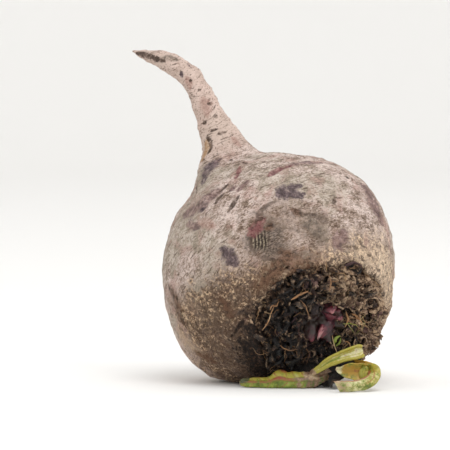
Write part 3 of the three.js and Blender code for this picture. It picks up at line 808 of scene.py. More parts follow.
def give_surface(tree, colour, roughness, inputs=None, relief=None):
    """Ends a material with its surface, over relief of a strength, distance and height if it has any."""
    inputs = {"Base Color": colour, "Roughness": roughness, **(inputs or {})}
    if relief:
        inputs["Normal"] = node(tree, "Bump", dict(zip(("Strength", "Distance", "Height"), relief)))
    node(tree, "OutputMaterial", {"Surface": node(tree, "BsdfPrincipled", inputs)})


def bare_skin(tree, place, fields, grain, mottle):
    """Cork skin: mottled tan with fine dark flecks and cracks that run round the root."""
    colours = bpy.context.scene.beet_skin
    # Soft changes of colour 22 mm and 8 mm across.
    broad = node(tree, "TexNoise", {"Vector": place, "Scale": 45.0, "Detail": 3.0})
    pink = node(tree, "TexNoise", {"Vector": place, "Scale": 120.0, "Detail": 5.0, "Distortion": 0.5})
    # Flecks 4 mm long and 0.8 mm apart, cracks 12 mm long and 1.1 mm apart, and dots of 0.7 mm.
    ring = node(tree, "Math", {0: fields["latitude"], 1: 4.6}, operation="MULTIPLY")
    fleck = node(
        tree, "TexNoise",
        {"Vector": place, "W": ring, "Scale": 270.0, "Detail": 3.0, "Roughness": 0.65}, noise_dimensions="4D",
    )
    long_ring = node(tree, "Math", {0: fields["latitude"], 1: 11.0}, operation="MULTIPLY")
    crack = node(
        tree, "TexNoise",
        {"Vector": place, "W": long_ring, "Scale": 85.0, "Detail": 4.0, "Roughness": 0.6},
        noise_dimensions="4D",
    )
    dots = node(tree, "TexNoise", {"Vector": place, "Scale": 1400.0, "Detail": 1.0})
    blend = node(tree, "Math", {0: grain, 1: 0.6, 2: 0.0}, operation="MULTIPLY_ADD")
    blend = node(tree, "Math", {0: mottle, 1: 0.4, 2: blend}, operation="MULTIPLY_ADD")
    colour = node(
        tree, "ValToRGB", {"Fac": blend},
        stops=[(0.425, "#5A463B"), (0.466, "#978473"), (0.498, colours.tan), (0.55, colours.pale)],
    )
    cool = node(tree, "MapRange", {0: broad, 1: 0.46, 2: 0.62, 4: 0.45}, **SMOOTH)
    rosy = node(tree, "MapRange", {0: pink, 1: 0.5, 2: 0.7, 4: 0.5}, **SMOOTH)
    dotted = node(tree, "MapRange", {0: dots, 1: 0.6, 2: 0.68, 4: 0.65}, **SMOOTH)
    pitted = node(tree, "MapRange", {0: fleck, 1: 0.56, 2: 0.65, 4: 0.85}, **SMOOTH)
    cracked = node(tree, "MapRange", {0: crack, 1: 0.59, 2: 0.7, 4: 0.6}, **SMOOTH)
    for share, paint in (
        (cool, colours.grey),
        (rosy, "#B08B82"),
        (fields["tail"], "#CEB7AB"),
        (dotted, colours.fleck),
        (cracked, colours.fleck),
        (pitted, colours.fleck),
    ):
        colour = node(tree, "Mix", {0: share, 6: colour, 7: paint}, 2, **COLOURS)
    pits = node(tree, "Math", {0: pitted, 1: cracked}, operation="MAXIMUM")
    return colour, pits


def scurf_over(tree, place, colour, fields, flake, mottle, grain):
    """Rough cork scurf, paler outwards and browner near the crown, darker at the low left with grime and
    painted shade, then soil in the hollows.
    """
    colours = bpy.context.scene.beet_skin
    patchy = node(tree, "Math", {0: mottle, 1: 3.0, 2: -1.5}, operation="MULTIPLY_ADD")
    patchy = node(tree, "Math", {0: grain, 1: 1.6, 2: patchy}, operation="MULTIPLY_ADD")
    edge = node(tree, "Math", {0: fields["scurf"], 1: patchy}, operation="ADD")
    scurfy = node(tree, "MapRange", {0: edge, 1: 0.75, 2: 1.5, 4: 0.9}, **SMOOTH)
    # At the low left the flakes are lowered and the scurf is washed darker: grime, and painted shade low on
    # the root.
    lowered = node(tree, "Math", {0: fields["grime"], 1: -0.05, 2: flake}, operation="MULTIPLY_ADD")
    flakes = node(
        tree, "ValToRGB", {"Fac": lowered},
        stops=[
            (0.435, "#1B110B"), (0.468, colours.brown), (0.498, "#8E6F53"),
            (0.526, "#B69673"), (0.56, colours.scurf),
        ],
    )
    fair = node(tree, "Mix", {0: fields["fair"], 6: flakes, 7: "#E8D2BA"}, 2, **COLOURS)
    grime_and_shade_wash = node(tree, "Math", {0: fields["grime"], 1: 0.6}, operation="MULTIPLY")
    grimed_and_shaded = node(tree, "Mix", {0: grime_and_shade_wash, 6: fair, 7: "#3E2C1E"}, 2, **COLOURS)
    # Dark brown patches 2.5 mm across, closer together at the low left, where grime and painted shade darken
    # the scurf.
    spots = node(tree, "TexNoise", {"Vector": place, "Scale": 400.0, "Detail": 6.0, "Roughness": 0.8})
    spots = node(tree, "Math", {0: fields["grime"], 1: 0.24, 2: spots}, operation="MULTIPLY_ADD")
    spotted = node(tree, "MapRange", {0: spots, 1: 0.51, 2: 0.57, 4: 0.85}, **SMOOTH)
    dusk = node(tree, "Mix", {0: flake, 6: "#170E09", 7: "#5E4431"}, 2, **COLOURS)
    grimed_and_shaded = node(tree, "Mix", {0: spotted, 6: grimed_and_shaded, 7: dusk}, 2, **COLOURS)
    dirt = node(tree, "Math", {0: fields["soil"], 1: patchy}, operation="ADD")
    dirt = node(tree, "Math", {0: flake, 1: -2.6, 2: dirt}, operation="MULTIPLY_ADD")
    soiled = node(tree, "MapRange", {0: dirt, 1: -0.7, 2: 0.3, 4: 0.95}, **SMOOTH)
    earth = node(
        tree, "ValToRGB", {"Fac": flake},
        stops=[(0.46, "#0A0605"), (0.53, colours.soil), (0.58, "#38261A"), (0.66, "#6E4E36")],
    )
    colour = node(tree, "Mix", {0: scurfy, 6: colour, 7: grimed_and_shaded}, 2, **COLOURS)
    colour = node(tree, "Mix", {0: soiled, 6: colour, 7: earth}, 2, **COLOURS)
    return colour, scurfy


def scar_over(tree, place, colour, fields, mottle, grain):
    """The eye scar: a dull, speckled grey-brown oval, with wavy upright streaks at its lower left."""
    ragged = node(tree, "Math", {0: mottle, 1: 3.4, 2: -1.7}, operation="MULTIPLY_ADD")
    ragged = node(tree, "Math", {0: grain, 1: 1.6, 2: ragged}, operation="MULTIPLY_ADD")
    dull = node(tree, "Math", {0: fields["scar"], 1: ragged}, operation="ADD")
    dull_share = node(tree, "MapRange", {0: dull, 1: 0.5, 2: 1.2, 4: 0.85}, **SMOOTH)
    speckled = node(tree, "MapRange", {0: grain, 1: 0.45, 2: 0.6})
    murky = node(tree, "Mix", {0: speckled, 6: "#241D18", 7: "#8A796B"}, 2, **COLOURS)
    colour = node(tree, "Mix", {0: dull_share, 6: colour, 7: murky}, 2, **COLOURS)
    # Wavy streaks 1.3 mm apart, which run up the picture and are broken every few millimetres.
    waves = node(
        tree, "TexWave",
        {"Vector": place, "Scale": 235.0, "Distortion": 6.5, "Detail": 4.0, "Detail Scale": 1.0},
        1, wave_type="BANDS", bands_direction="X",
    )
    broken = node(tree, "Math", {0: grain, 1: 4.5, 2: -2.35}, operation="MULTIPLY_ADD")
    broken = node(tree, "Math", {0: waves, 1: broken}, operation="ADD")
    lines = node(
        tree, "ValToRGB", {"Fac": broken},
        stops=[(0.3, "#211A15"), (0.68, "#5E5042"), (1.0, "#A3967F")],
    )
    field = node(tree, "Math", {0: fields["streaks"], 1: ragged}, operation="ADD")
    share = node(tree, "MapRange", {0: field, 1: 0.6, 2: 1.4, 4: 0.85}, **SMOOTH)
    return node(tree, "Mix", {0: share, 6: colour, 7: lines}, 2, **COLOURS)


def marks_over(tree, place, colour, fields, mottle, grain):
    """Scrapes, sores, bruises and cracks, with painted shade in grooves and creases, each ragged, worn
    through in spots and of its own strength.
    """
    ragged = node(tree, "Math", {0: grain, 1: 2.6, 2: -2.75}, operation="MULTIPLY_ADD")
    ragged = node(tree, "Math", {0: mottle, 1: 3.2, 2: ragged}, operation="MULTIPLY_ADD")
    # Uneven bits up to 2.5 mm across, where a mark is paler or the skin shows through it.
    bits = node(tree, "TexNoise", {"Vector": place, "Scale": 400.0, "Detail": 6.0, "Roughness": 0.85})
    kept = node(tree, "MapRange", {0: bits, 1: 0.6, 2: 0.5, 3: 0.45, 4: 1.0})
    shade = node(tree, "MapRange", {0: bits, 1: 0.42, 2: 0.56})
    for name, (dark, light, softness, strength) in MARK_PAINTS.items():
        field = node(tree, "Math", {0: fields[name], 1: ragged}, operation="ADD")
        share = node(tree, "MapRange", {0: field, 1: 0.0, 2: softness, 4: strength}, **SMOOTH)
        share = node(tree, "Math", {0: share, 1: kept}, operation="MULTIPLY")
        paint = node(tree, "Mix", {0: shade, 6: dark, 7: light}, 2, **COLOURS)
        colour = node(tree, "Mix", {0: share, 6: colour, 7: paint}, 2, **COLOURS)
    return colour


def skin_material():
    """Cork: the dry, dull skin of a lifted root, with scraped patches and rough scurf."""
    material, tree, place, fields = new_material("cork_dry_skin", SKIN_FIELDS)
    # Mottles 4.5 mm across, cork grain 1.1 mm long and 0.5 mm apart round the root, and scurf
    # flakes 1.2 mm across. Real cork grain is finer than the render shows, so it is drawn coarser.
    mottle = node(tree, "TexNoise", {"Vector": place, "Scale": 220.0, "Detail": 6.0, "Roughness": 0.65})
    grain_ring = node(tree, "Math", {0: fields["latitude"], 1: 1.8}, operation="MULTIPLY")
    grain = node(
        tree, "TexNoise",
        {"Vector": place, "W": grain_ring, "Scale": 900.0, "Detail": 5.0, "Roughness": 0.85},
        noise_dimensions="4D",
    )
    flake = node(
        tree, "TexNoise",
        {"Vector": place, "Scale": 820.0, "Detail": 6.0, "Roughness": 0.85, "Distortion": 0.3},
    )
    colour, pits = bare_skin(tree, place, fields, grain, mottle)
    colour, scurfy = scurf_over(tree, place, colour, fields, flake, mottle, grain)
    colour = scar_over(tree, place, colour, fields, mottle, grain)
    colour = marks_over(tree, place, colour, fields, mottle, grain)
    height = node(tree, "Mix", {0: scurfy, 2: grain, 3: flake}, 0)
    height = node(tree, "Math", {0: pits, 1: -0.35, 2: height}, operation="MULTIPLY_ADD")
    give_surface(tree, colour, 0.8, {"Specular IOR Level": 0.25}, (0.55, 0.0006, height))
    return material


def dead_leaf_material():
    """Dead leaf bases: rotted and dried plant fibre, slightly greasy where dark, dull where dry, with a
    blue-grey painted sheen on some dark bits and light edges on tips and ridges that are partly pale frayed
    fibre and partly painted highlight.
    """
    colours = bpy.context.scene.beet_crown
    material, tree, place, fields = new_material("dead_leaf_base_dried", ("tone", "tint", "rise"))
    # Blotches 1.8 mm across and fibre grain 0.6 mm across.
    patchy = node(tree, "TexNoise", {"Vector": place, "Scale": 550.0, "Detail": 6.0, "Roughness": 0.8})
    fine = node(tree, "TexNoise", {"Vector": place, "Scale": 1600.0, "Detail": 3.0, "Roughness": 0.7})
    spread = node(tree, "Math", {0: patchy, 1: 3.0, 2: -1.5}, operation="MULTIPLY_ADD")
    aged = node(tree, "Math", {0: spread, 1: fields["tone"]}, operation="ADD")
    dry = node(tree, "MapRange", {0: aged, 1: 0.0, 2: 1.0})
    colour = node(
        tree, "ValToRGB", {"Fac": dry},
        stops=[
            (0.08, colours.dark), (0.36, "#2B2019"), (0.6, colours.brown),
            (0.8, "#8A6E58"), (0.97, colours.edge),
        ],
    )
    purple = node(tree, "MapRange", {0: fields["tint"], 1: 0.4, 2: 1.4, 4: 0.6})
    # Where the tint is low, the dark colour takes a blue-grey painted sheen.
    green = node(tree, "MapRange", {0: fields["tint"], 1: -0.2, 2: -1.0, 4: 0.5})
    # Tips of flakes and ridges of the crumples take the light edge colour: pale frayed fibre, and a painted
    # highlight where they stand up into the light.
    frayed = node(tree, "Math", {0: fields["rise"], 1: fine}, operation="MULTIPLY")
    frayed_highlight_share = node(tree, "MapRange", {0: frayed, 1: 0.36, 2: 0.54}, **SMOOTH)
    lit = node(tree, "Math", {0: frayed_highlight_share, 1: dry}, operation="MULTIPLY")
    for share, paint in ((purple, "#6E4F54"), (green, "#25282A"), (lit, colours.edge)):
        colour = node(tree, "Mix", {0: share, 6: colour, 7: paint}, 2, **COLOURS)
    roughness = node(tree, "MapRange", {0: dry, 1: 0.2, 2: 0.7, 3: 0.42, 4: 0.8})
    give_surface(tree, colour, roughness, {"Specular IOR Level": 0.4}, (1.0, 0.0009, fine))
    return material


def fibre_material():
    """Dry plant fibre, split lengthways and bleached, some strands darker."""
    colours = bpy.context.scene.beet_crown
    material, tree, place, fields = new_material("plant_fibre_dried", ("tone",))
    patchy = node(tree, "TexNoise", {"Vector": place, "Scale": 300.0, "Detail": 3.0})
    share = node(tree, "Math", {0: patchy, 1: 0.6, 2: fields["tone"]}, operation="MULTIPLY_ADD")
    colour = node(
        tree, "ValToRGB", {"Fac": node(tree, "MapRange", {0: share, 1: 0.2, 2: 1.4})},
        stops=[
            (0.15, "#2E221B"), (0.4, "#6E543E"), (0.6, "#A0744C"),
            (0.75, colours.fibre), (0.93, "#8E9C45"),
        ],
    )
    give_surface(tree, colour, 0.65)
    return material


def bud_material():
    """Fresh bud tissue: smooth and moist, maroon with pinker ridges and tips whose lightest pink is a painted
    highlight, and dead brown at the edges.
    """
    colours = bpy.context.scene.beet_crown
    material, tree, place, fields = new_material("bud_tissue_fresh", ("rise", "age"))
    # Streaky blotches 2.6 mm across.
    patchy = node(tree, "TexNoise", {"Vector": place, "Scale": 380.0, "Detail": 5.0, "Roughness": 0.6})
    # Raised tips and the heart's top run up the ramp to pink, and its last, lightest stop is a painted
    # highlight.
    lifted = node(tree, "Math", {0: patchy, 1: 2.2, 2: fields["rise"]}, operation="MULTIPLY_ADD")
    colour = node(
        tree, "ValToRGB", {"Fac": node(tree, "MapRange", {0: lifted, 1: 0.7, 2: 2.3})},
        stops=[
            (0.15, "#1C0E0D"), (0.4, "#3C1820"),
            (0.65, colours.bud), (0.85, colours.bud_tip), (1.0, "#BC908C"),
        ],
    )
    worn = node(tree, "Math", {0: patchy, 1: 1.6, 2: fields["age"]}, operation="MULTIPLY_ADD")
    dead = node(tree, "MapRange", {0: worn, 1: 0.92, 2: 1.4}, **SMOOTH)
    colour = node(tree, "Mix", {0: dead, 6: colour, 7: "#2C201A"}, 2, **COLOURS)
    give_surface(tree, colour, 0.42, {"Subsurface Weight": 0.05}, (0.4, 0.0004, patchy))
    return material


def leaf_material():
    """Fresh young beet leaf: waxy green with red midrib and veins, withered or pale in places."""
    colours = bpy.context.scene.beet_leaf
    material, tree, place, fields = new_material("young_leaf_waxy", LEAF_FIELDS)
    # Blotches 3.5 mm across and cell grain 0.8 mm across.
    patchy = node(tree, "TexNoise", {"Vector": place, "Scale": 290.0, "Detail": 6.0, "Roughness": 0.75})
    fine = node(tree, "TexNoise", {"Vector": place, "Scale": 1300.0, "Detail": 3.0, "Roughness": 0.7})
    colour = node(
        tree, "ValToRGB", {"Fac": patchy},
        stops=[(0.34, "#4F611E"), (0.5, colours.green), (0.66, "#A0A546")],
    )
    dry = node(
        tree, "ValToRGB", {"Fac": patchy},
        stops=[(0.36, "#4C3A2D"), (0.5, colours.withered), (0.64, "#BBA17F")],
    )
    mauve = node(
        tree, "ValToRGB", {"Fac": patchy},
        stops=[(0.4, "#A88C7C"), (0.5, colours.pale), (0.66, "#DED2B0")],
    )
    ragged = node(tree, "Math", {0: patchy, 1: 2.4, 2: -1.2}, operation="MULTIPLY_ADD")
    # Side veins leave the midrib forwards, with their gap given in the run along the rib.
    from_rib = node(tree, "Math", {0: fields["across"]}, operation="ABSOLUTE")
    swept = node(tree, "Math", {0: from_rib, 1: -2.2, 2: fields["along"]}, operation="MULTIPLY_ADD")
    wander = node(tree, "Math", {0: patchy, 1: 2.0, 2: swept}, operation="MULTIPLY_ADD")
    phase = node(tree, "Math", {0: wander, 1: VEIN_GAP / 2}, operation="PINGPONG")
    side_vein = node(tree, "MapRange", {0: phase, 1: 0.3, 2: 0.08, 4: 0.75}, **SMOOTH)
    rib = node(tree, "MapRange", {0: from_rib, 1: 0.17, 2: 0.06}, **SMOOTH)
    veins = node(tree, "Math", {0: side_vein, 1: rib}, operation="MAXIMUM")
    shown = node(tree, "MapRange", {0: patchy, 1: 0.38, 2: 0.56}, **SMOOTH)
    veins_shown = node(tree, "Math", {0: veins, 1: shown}, operation="MULTIPLY")
    veined = node(tree, "Math", {0: veins_shown, 1: fields["veined"]}, operation="MULTIPLY")
    for name, paint in (
        ("yellow", colours.yellow), ("orange", colours.orange),
        ("pale", mauve), ("rust", colours.vein),
    ):
        field = node(tree, "Math", {0: fields[name], 1: ragged}, operation="ADD")
        share = node(tree, "MapRange", {0: field, 1: 0.25, 2: 0.8, 4: 0.92}, **SMOOTH)
        colour = node(tree, "Mix", {0: share, 6: colour, 7: paint}, 2, **COLOURS)
    colour = node(tree, "Mix", {0: veined, 6: colour, 7: colours.vein}, 2, **COLOURS)
    for name, paint in (("withered", dry), ("dead", colours.tip)):
        field = node(tree, "Math", {0: fields[name], 1: ragged}, operation="ADD")
        share = node(tree, "MapRange", {0: field, 1: 0.25, 2: 0.7}, **SMOOTH)
        colour = node(tree, "Mix", {0: share, 6: colour, 7: paint}, 2, **COLOURS)
    height = node(tree, "Math", {0: fine, 1: 0.5, 2: veins}, operation="MULTIPLY_ADD")
    give_surface(tree, colour, 0.4, {"Subsurface Weight": 0.1}, (0.4, 0.0003, height))
    return material


def floor_material():
    """Matt painted board, plain and pale."""
    material, tree, _, _ = new_material("painted_board_matt")
    give_surface(tree, bpy.context.scene.beet_stage.floor, 0.9, {"Specular IOR Level": 0.1})
    return material


def oval_field(points, surface, pixel, size):
    """1 in the middle of an oval of the picture, 0 at its outline and -1 well outside."""
    arm = points - seen_at(surface, pixel)
    away = np.hypot(arm[:, 0] / size[0], arm @ VIEW_UP / size[1])
    return np.where(points[:, 1] < 0, np.clip(1 - away, -1, 1), -1)


def skin_fields(points):
    """The skin's masks, by name, and each point's angle beyond the lip round the crown."""
    azimuth, angle = crown_polar(points)
    from_lip = angle - lip_at(azimuth)
    scurf_end = np.interp(azimuth, SCURF_AZIMUTH, SCURF_ANGLE, period=360)
    soil_end = np.interp(azimuth, SOIL_AZIMUTH, SOIL_WIDTH, period=360)
    low_left = hump(azimuth, -150, 55) + hump(azimuth, 210, 55)
    surface = surface_of(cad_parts["root"])
    fields = {
        "latitude": latitude(points) * MM,
        "scurf": np.clip((scurf_end - angle) / 22, -1, 1),
        "soil": np.clip((soil_end - from_lip) / 9, -1, 1),
        # Grime and painted shade: the scurf is darker at the low left, next to the crown.
        "grime": 0.55 * low_left * smooth_step(angle, 85, 40),
        "fair": 0.5 * hump(azimuth, 35, 45),
        "scar": oval_field(points, surface, SCAR_PIXEL, SCAR_SIZE),
        "streaks": oval_field(points, surface, STREAKS_PIXEL, STREAKS_SIZE),
        "tail": 0.7 * smooth_step(np.linalg.norm(points - BODY_CENTRE, axis=1), 44.5, 53),
    }
    for kind in MARK_PAINTS:
        fields[kind] = np.full(len(points), -1.0)
    fields["hollow"] = oval_field(points, surface, HOLLOW_PIXEL, HOLLOW_SIZE)
    marks = hidden_marks()
    for kind, pixels, width in MARKS.values():
        marks.append((kind, [seen_at(surface, pixel) for pixel in pixels], width))
    for kind, route, width in marks:
        fields[kind] = np.maximum(fields[kind], mark_field(points, route, width))
    return fields, from_lip


def outline_at(arm):
    """How far the object reaches from the body's centre, seen from the front, along each arm."""
    below = np.degrees(np.arctan2(-arm[:, 2], arm[:, 0]))
    return np.interp(below, OUTLINE_ANGLE, OUTLINE_REACH)


def scaled_in_picture(arm, share):
    """Points at arms from the body's centre, each arm scaled in the plane of the picture alone."""
    moved = arm.copy()
    moved[:, [0, 2]] *= share[:, None]
    return BODY_CENTRE + moved


def shoulder_out(points):
    """The lower right of the body and the crown pushed out to the outline."""
    arm = points - BODY_CENTRE
    reach = np.hypot(arm[:, 0], arm[:, 2])
    push = (outline_at(arm) - OUTLINE_REACH[0]) * smooth_step(reach, 32, 43) * smooth_step(arm[:, 0], 15, 28)
    push = push * hump(arm[:, 1], 0, 22)
    return scaled_in_picture(arm, 1 + push / np.maximum(reach, 1))


def kept_in(points):
    """Points at the crown's right kept within the outline."""
    arm = points - BODY_CENTRE
    reach = np.hypot(arm[:, 0], arm[:, 2])
    limit = outline_at(arm) + OUTLINE_SLACK
    share = np.where(arm[:, 0] > 20, np.minimum(limit / np.maximum(reach, 1), 1), 1)
    return scaled_in_picture(arm, share)


def neck_flared(points):
    """The neck's left side pushed out, and the shoulder under it drawn in a little."""
    left, depth, level = -points[:, 0], points[:, 1], points[:, 2]
    middle = hump(depth, 0, 15)
    flare = 2.4 * hump(level, 82, 5) * smooth_step(left, 18, 28)
    shoulder = 1.3 * hump(level, 69.5, 4.5) * smooth_step(left, 22, 34)
    moved = points.copy()
    moved[:, 0] -= middle * (flare - shoulder)
    return moved


class BEET_OT_skin(bpy.types.Operator):
    """Models the root's skin over its frame node"""

    bl_idname = "beetroot.skin"
    bl_label = "Skin"

    def execute(self, context):
        sizes = context.scene.beet_skin
        piece = copy_of("root")
        shaped_by(piece, "REMESH", mode="VOXEL", voxel_size=sizes.mesh_size)
        points = points_of(piece)
        _, angle = crown_polar(points)
        far = np.linalg.norm(points - BODY_CENTRE, axis=1)
        body = smooth_step(angle, 38, 44) * smooth_step(far, 56, 49)
        set_weights(piece, "body", 0.12 + 0.88 * body)
        shaped_by(piece, "SMOOTH", factor=0.5, iterations=26, vertex_group="body")
        set_points(piece, drawn_in(points_of(piece)))
        points, outward = points_of(piece), normals_of(piece)
        fields, from_lip = skin_fields(points)
        in_seat = smooth_step(from_lip, 0, -1.5)
        scurf = np.clip(fields["scurf"] + 0.5 * uneven(points, 7), 0, 1) * (1 - 0.7 * in_seat)
        along = fields["latitude"] / MM
        rings = np.stack([along / 1.7, points[:, 0] / 12, points[:, 2] / 12], axis=1)
        relief = sizes.wrinkle_height / MM * uneven(rings, 1.0) * (1 - 0.6 * scurf)
        relief += 0.45 * uneven(points, 15, shift=3.0) + 0.22 * uneven(points, 5)
        relief += sizes.scurf_height / MM * scurf * uneven(points, 2.2, octaves=4)
        relief += 1.1 * hump(from_lip, 1, 2.5) * uneven(points, 4, octaves=4, shift=5.0)
        # The lip swells where the crown lies sunk under it.
        relief += 0.5 * sink_at(crown_polar(points)[0]) * hump(from_lip, 1.8, 2)
        # Folds that run along the lip on its low left side, where the grime and painted shade field is high.
        folds = np.sin(from_lip * 1.5 + 2 * uneven(points, 9, shift=9.0))
        relief += 0.5 * folds * fields["grime"] * smooth_step(from_lip, 22, 6) * (1 - in_seat)
        scar = np.clip(fields["scar"], 0, 1)
        relief += np.minimum(scar * 3, 1) * (0.3 * uneven(points, 2.4, shift=4.0) - 0.3)
        relief -= 0.5 * np.clip(fields["worn"], 0, 1)
        relief -= 1.5 * smooth_step(fields["hollow"] + 0.08 * uneven(points, 5, shift=11.0), 0, 0.3)
        for kind, depth in MARK_DEPTHS.items():
            relief -= depth * np.clip(fields[kind] * 2, 0, 1)
        points = points + outward * (relief * smooth_step(points[:, 2], 0.2, 3))[:, None]
        set_points(piece, above_floor(shoulder_out(neck_flared(points)), 0))
        # The scar keeps its own colour in the hollow.
        for kind in ("hollow", "worn"):
            fields[kind] = fields[kind] - 1.5 * scar
        for name, values in fields.items():
            set_field(piece, name, values)
        finished(piece, "root_skin", skin_material(), "root_skin", "root")
        return {"FINISHED"}


def tone_at(points):
    """How dry and light the crown is at a place: black at the left and low, tan at the right and rim."""
    right, up = across_crown(points)
    azimuth, angle = crown_polar(points)
    rim = smooth_step(lip_at(azimuth) - angle, 9, 2)
    brown_rim = rim * np.interp(azimuth, RIM_AZIMUTH, RIM_TONE, period=360)
    tone = 0.1 + 0.4 * smooth_step(0.9 * right + 0.4 * up, -6, 18) + brown_rim
    for (across, rise), radius, dryness in DRY_PATCHES:
        away = np.hypot(right - across, up - rise)
        tone = tone + dryness * hump(away, 0, radius)
    return tone


class BEET_OT_crown(bpy.types.Operator):
    """Models the crown's mass under its scales"""

    bl_idname = "beetroot.crown"
    bl_label = "Crown"

    def execute(self, context):
        sizes = context.scene.beet_crown
        piece = copy_of("crown")
        shaped_by(piece, "REMESH", mode="VOXEL", voxel_size=sizes.mesh_size)
        shaped_by(piece, "SMOOTH", factor=0.5, iterations=4)
        points, outward = points_of(piece), normals_of(piece)
        creases = ridged(points, 3.6, octaves=3)
        fine = ridged(points, 1.5, shift=3.0)
        relief = 1.5 * (creases - 0.55) + 0.5 * (fine - 0.5)
        points = sunk(drawn_in(points + outward * relief[:, None]))
        points = above_floor(kept_in(crumpled(shoulder_out(points), 3.2, 1.6)), 0)
        set_points(piece, points)
        set_field(piece, "tone", tone_at(points) - 0.1 + 0.2 * uneven(points, 6, shift=2.0))
        set_field(piece, "tint", 0.9 * uneven(points, 8, shift=7.0))
        # The crumples' ridges are marked for the light edge colour, partly a painted highlight.
        set_field(piece, "rise", smooth_step(0.6 * creases + 0.5 * fine, 0.35, 1.0))
        finished(piece, "crown_mass", dead_leaf_material(), "dead_leaf", "crown")
        return {"FINISHED"}


def near_leaves(points, clearance):
    """True where any point comes closer to a young leaf's rib than a clearance."""
    for rows in LEAF_ROUTES.values():
        route = along_route(rows, 40)[:, :3]
        gaps = np.linalg.norm(points[:, None, :] - route[None, :, :], axis=2)
        if gaps.min() < clearance:
            return True
    return False


def flake_points(u, v, foot, upward, facing, width, height, curl, bow):
    """A thin flake that stands on its foot, curls away as it rises and bows across its width."""
    sideways = unit(np.cross(facing, upward))
    facing = np.cross(upward, sideways)
    across = (u - 0.5) * width * (1 - 0.3 * v**2)
    rise = height * v * (1 - 0.25 * (2 * u - 1) ** 2)
    bend = curl * v
    off = -bow * across**2 / width
    along = rise * np.cos(bend) - off * np.sin(bend)
    out = rise * np.sin(bend) + off * np.cos(bend)
    return foot + across[:, None] * sideways + along[:, None] * upward + out[:, None] * facing


def crown_place(reach, azimuth, sink):
    """A foot on the crown's face and the direction from the axis to it."""
    outward = math.cos(azimuth) * CROWN_RIGHT + math.sin(azimuth) * CROWN_UP
    level = np.interp(reach, CROWN_REACH, CROWN_LEVEL) - sink
    foot = on_crown(reach * math.cos(azimuth), reach * math.sin(azimuth), level)
    return sunk(drawn_in(foot[None, :]))[0], outward


def crown_flakes(draw, grid, count, shape, open_scar):
    """Flakes of one sort over the crown, each a copy of the grid with its own tone and tint."""
    piece, u, v = grid
    golden = math.pi * (3 - math.sqrt(5))
    shapes = []
    for index in range(count):
        share = (index + 0.5) / count
        inner, outer = shape["reach"]
        reach = math.sqrt(inner**2 + share * (outer**2 - inner**2)) + draw.uniform(-0.8, 0.8)
        azimuth = index * golden + draw.uniform(-0.3, 0.3)
        foot, outward = crown_place(reach, azimuth, shape["sink"])
        # Flakes by the rim are shorter and lie inwards, most of all where the crown is sunk.
        near_rim = smooth_step(reach, 20, 26)
        sink = sink_at(math.degrees(azimuth))
        foot = foot + draw.uniform(*shape["lift"]) * (1 - near_rim * (0.5 + 0.5 * sink)) * CROWN_AXIS
        jumble = any_way(draw) * shape["jumble"]
        lean = draw.uniform(*shape["lean"])
        lean = lean - 1.2 * near_rim * max(lean, 0)
        upward = unit(math.cos(lean) * CROWN_AXIS + math.sin(lean) * outward + jumble)
        facing = outward + 0.6 * any_way(draw)
        width = draw.uniform(*shape["width"])
        height = draw.uniform(*shape["height"]) * (1 - (0.35 + 0.1 * sink) * near_rim)
        curl, bow = draw.uniform(*shape["curl"]), draw.uniform(*shape["bow"])
        points = flake_points(u, v, foot, upward, facing, width, height, curl, bow)
        tone = tone_at(foot[None, :])[0] + shape["tone"] + draw.uniform(-0.36, 0.46)
        tint = draw.uniform(-1, 1) + 0.5 * shape["tint"]
        arm = points - BODY_CENTRE
        spread = np.hypot(*across_crown(points)).max()
        stands_out = (np.hypot(arm[:, 0], arm[:, 2]) - outline_at(arm)).max()
        covers = np.linalg.norm(points - open_scar, axis=1).min() < STALK_SCAR_SIZE[0]
        fits = spread < CROWN_SPREAD and stands_out < OUTLINE_SLACK and not covers
        if fits and not near_leaves(points, FLAKE_CLEARANCE):
            # Each flake lightens towards its tip, partly as a painted highlight.
            fields = {"tone": np.full(len(u), tone), "tint": np.full(len(u), tint), "rise": v}
            shapes.append((points, fields))
    return shaped_copies(piece, shapes)


def rim_bits(draw, surface):
    """Small dead bits that cling to the skin between the crown and the outline at the lower right."""
    grid, u, v = flat_grid(5, 4)
    top, low = np.array(RIM_BITS["top"]), np.array(RIM_BITS["low"])
    shapes = []
    for _ in range(RIM_BITS["count"]):
        pixel = top + draw.random() * (low - top) - np.array([draw.random() * RIM_BITS["inward"], 0])
        foot = seen_at(surface, pixel)
        outward = unit(foot - BODY_CENTRE)
        sideways = np.cross(outward, any_way(draw))
        upward = unit(unit(sideways) + draw.uniform(0, 0.7) * outward)
        width, height = draw.uniform(0.8, 2.2), draw.uniform(1.3, 3)
        curl, bow = draw.uniform(-1.2, 0.6), draw.uniform(0.2, 1.6)
        points = flake_points(u, v, foot - 0.4 * outward, upward, outward, width, height, curl, bow)
        tone, tint = draw.uniform(0.4, 1.3), draw.uniform(-0.5, 1.6)
        if not near_leaves(points, FLAKE_CLEARANCE):
            fields = {"tone": np.full(len(u), tone), "tint": np.full(len(u), tint), "rise": v}
            shapes.append((points, fields))
    return shaped_copies(grid, shapes)


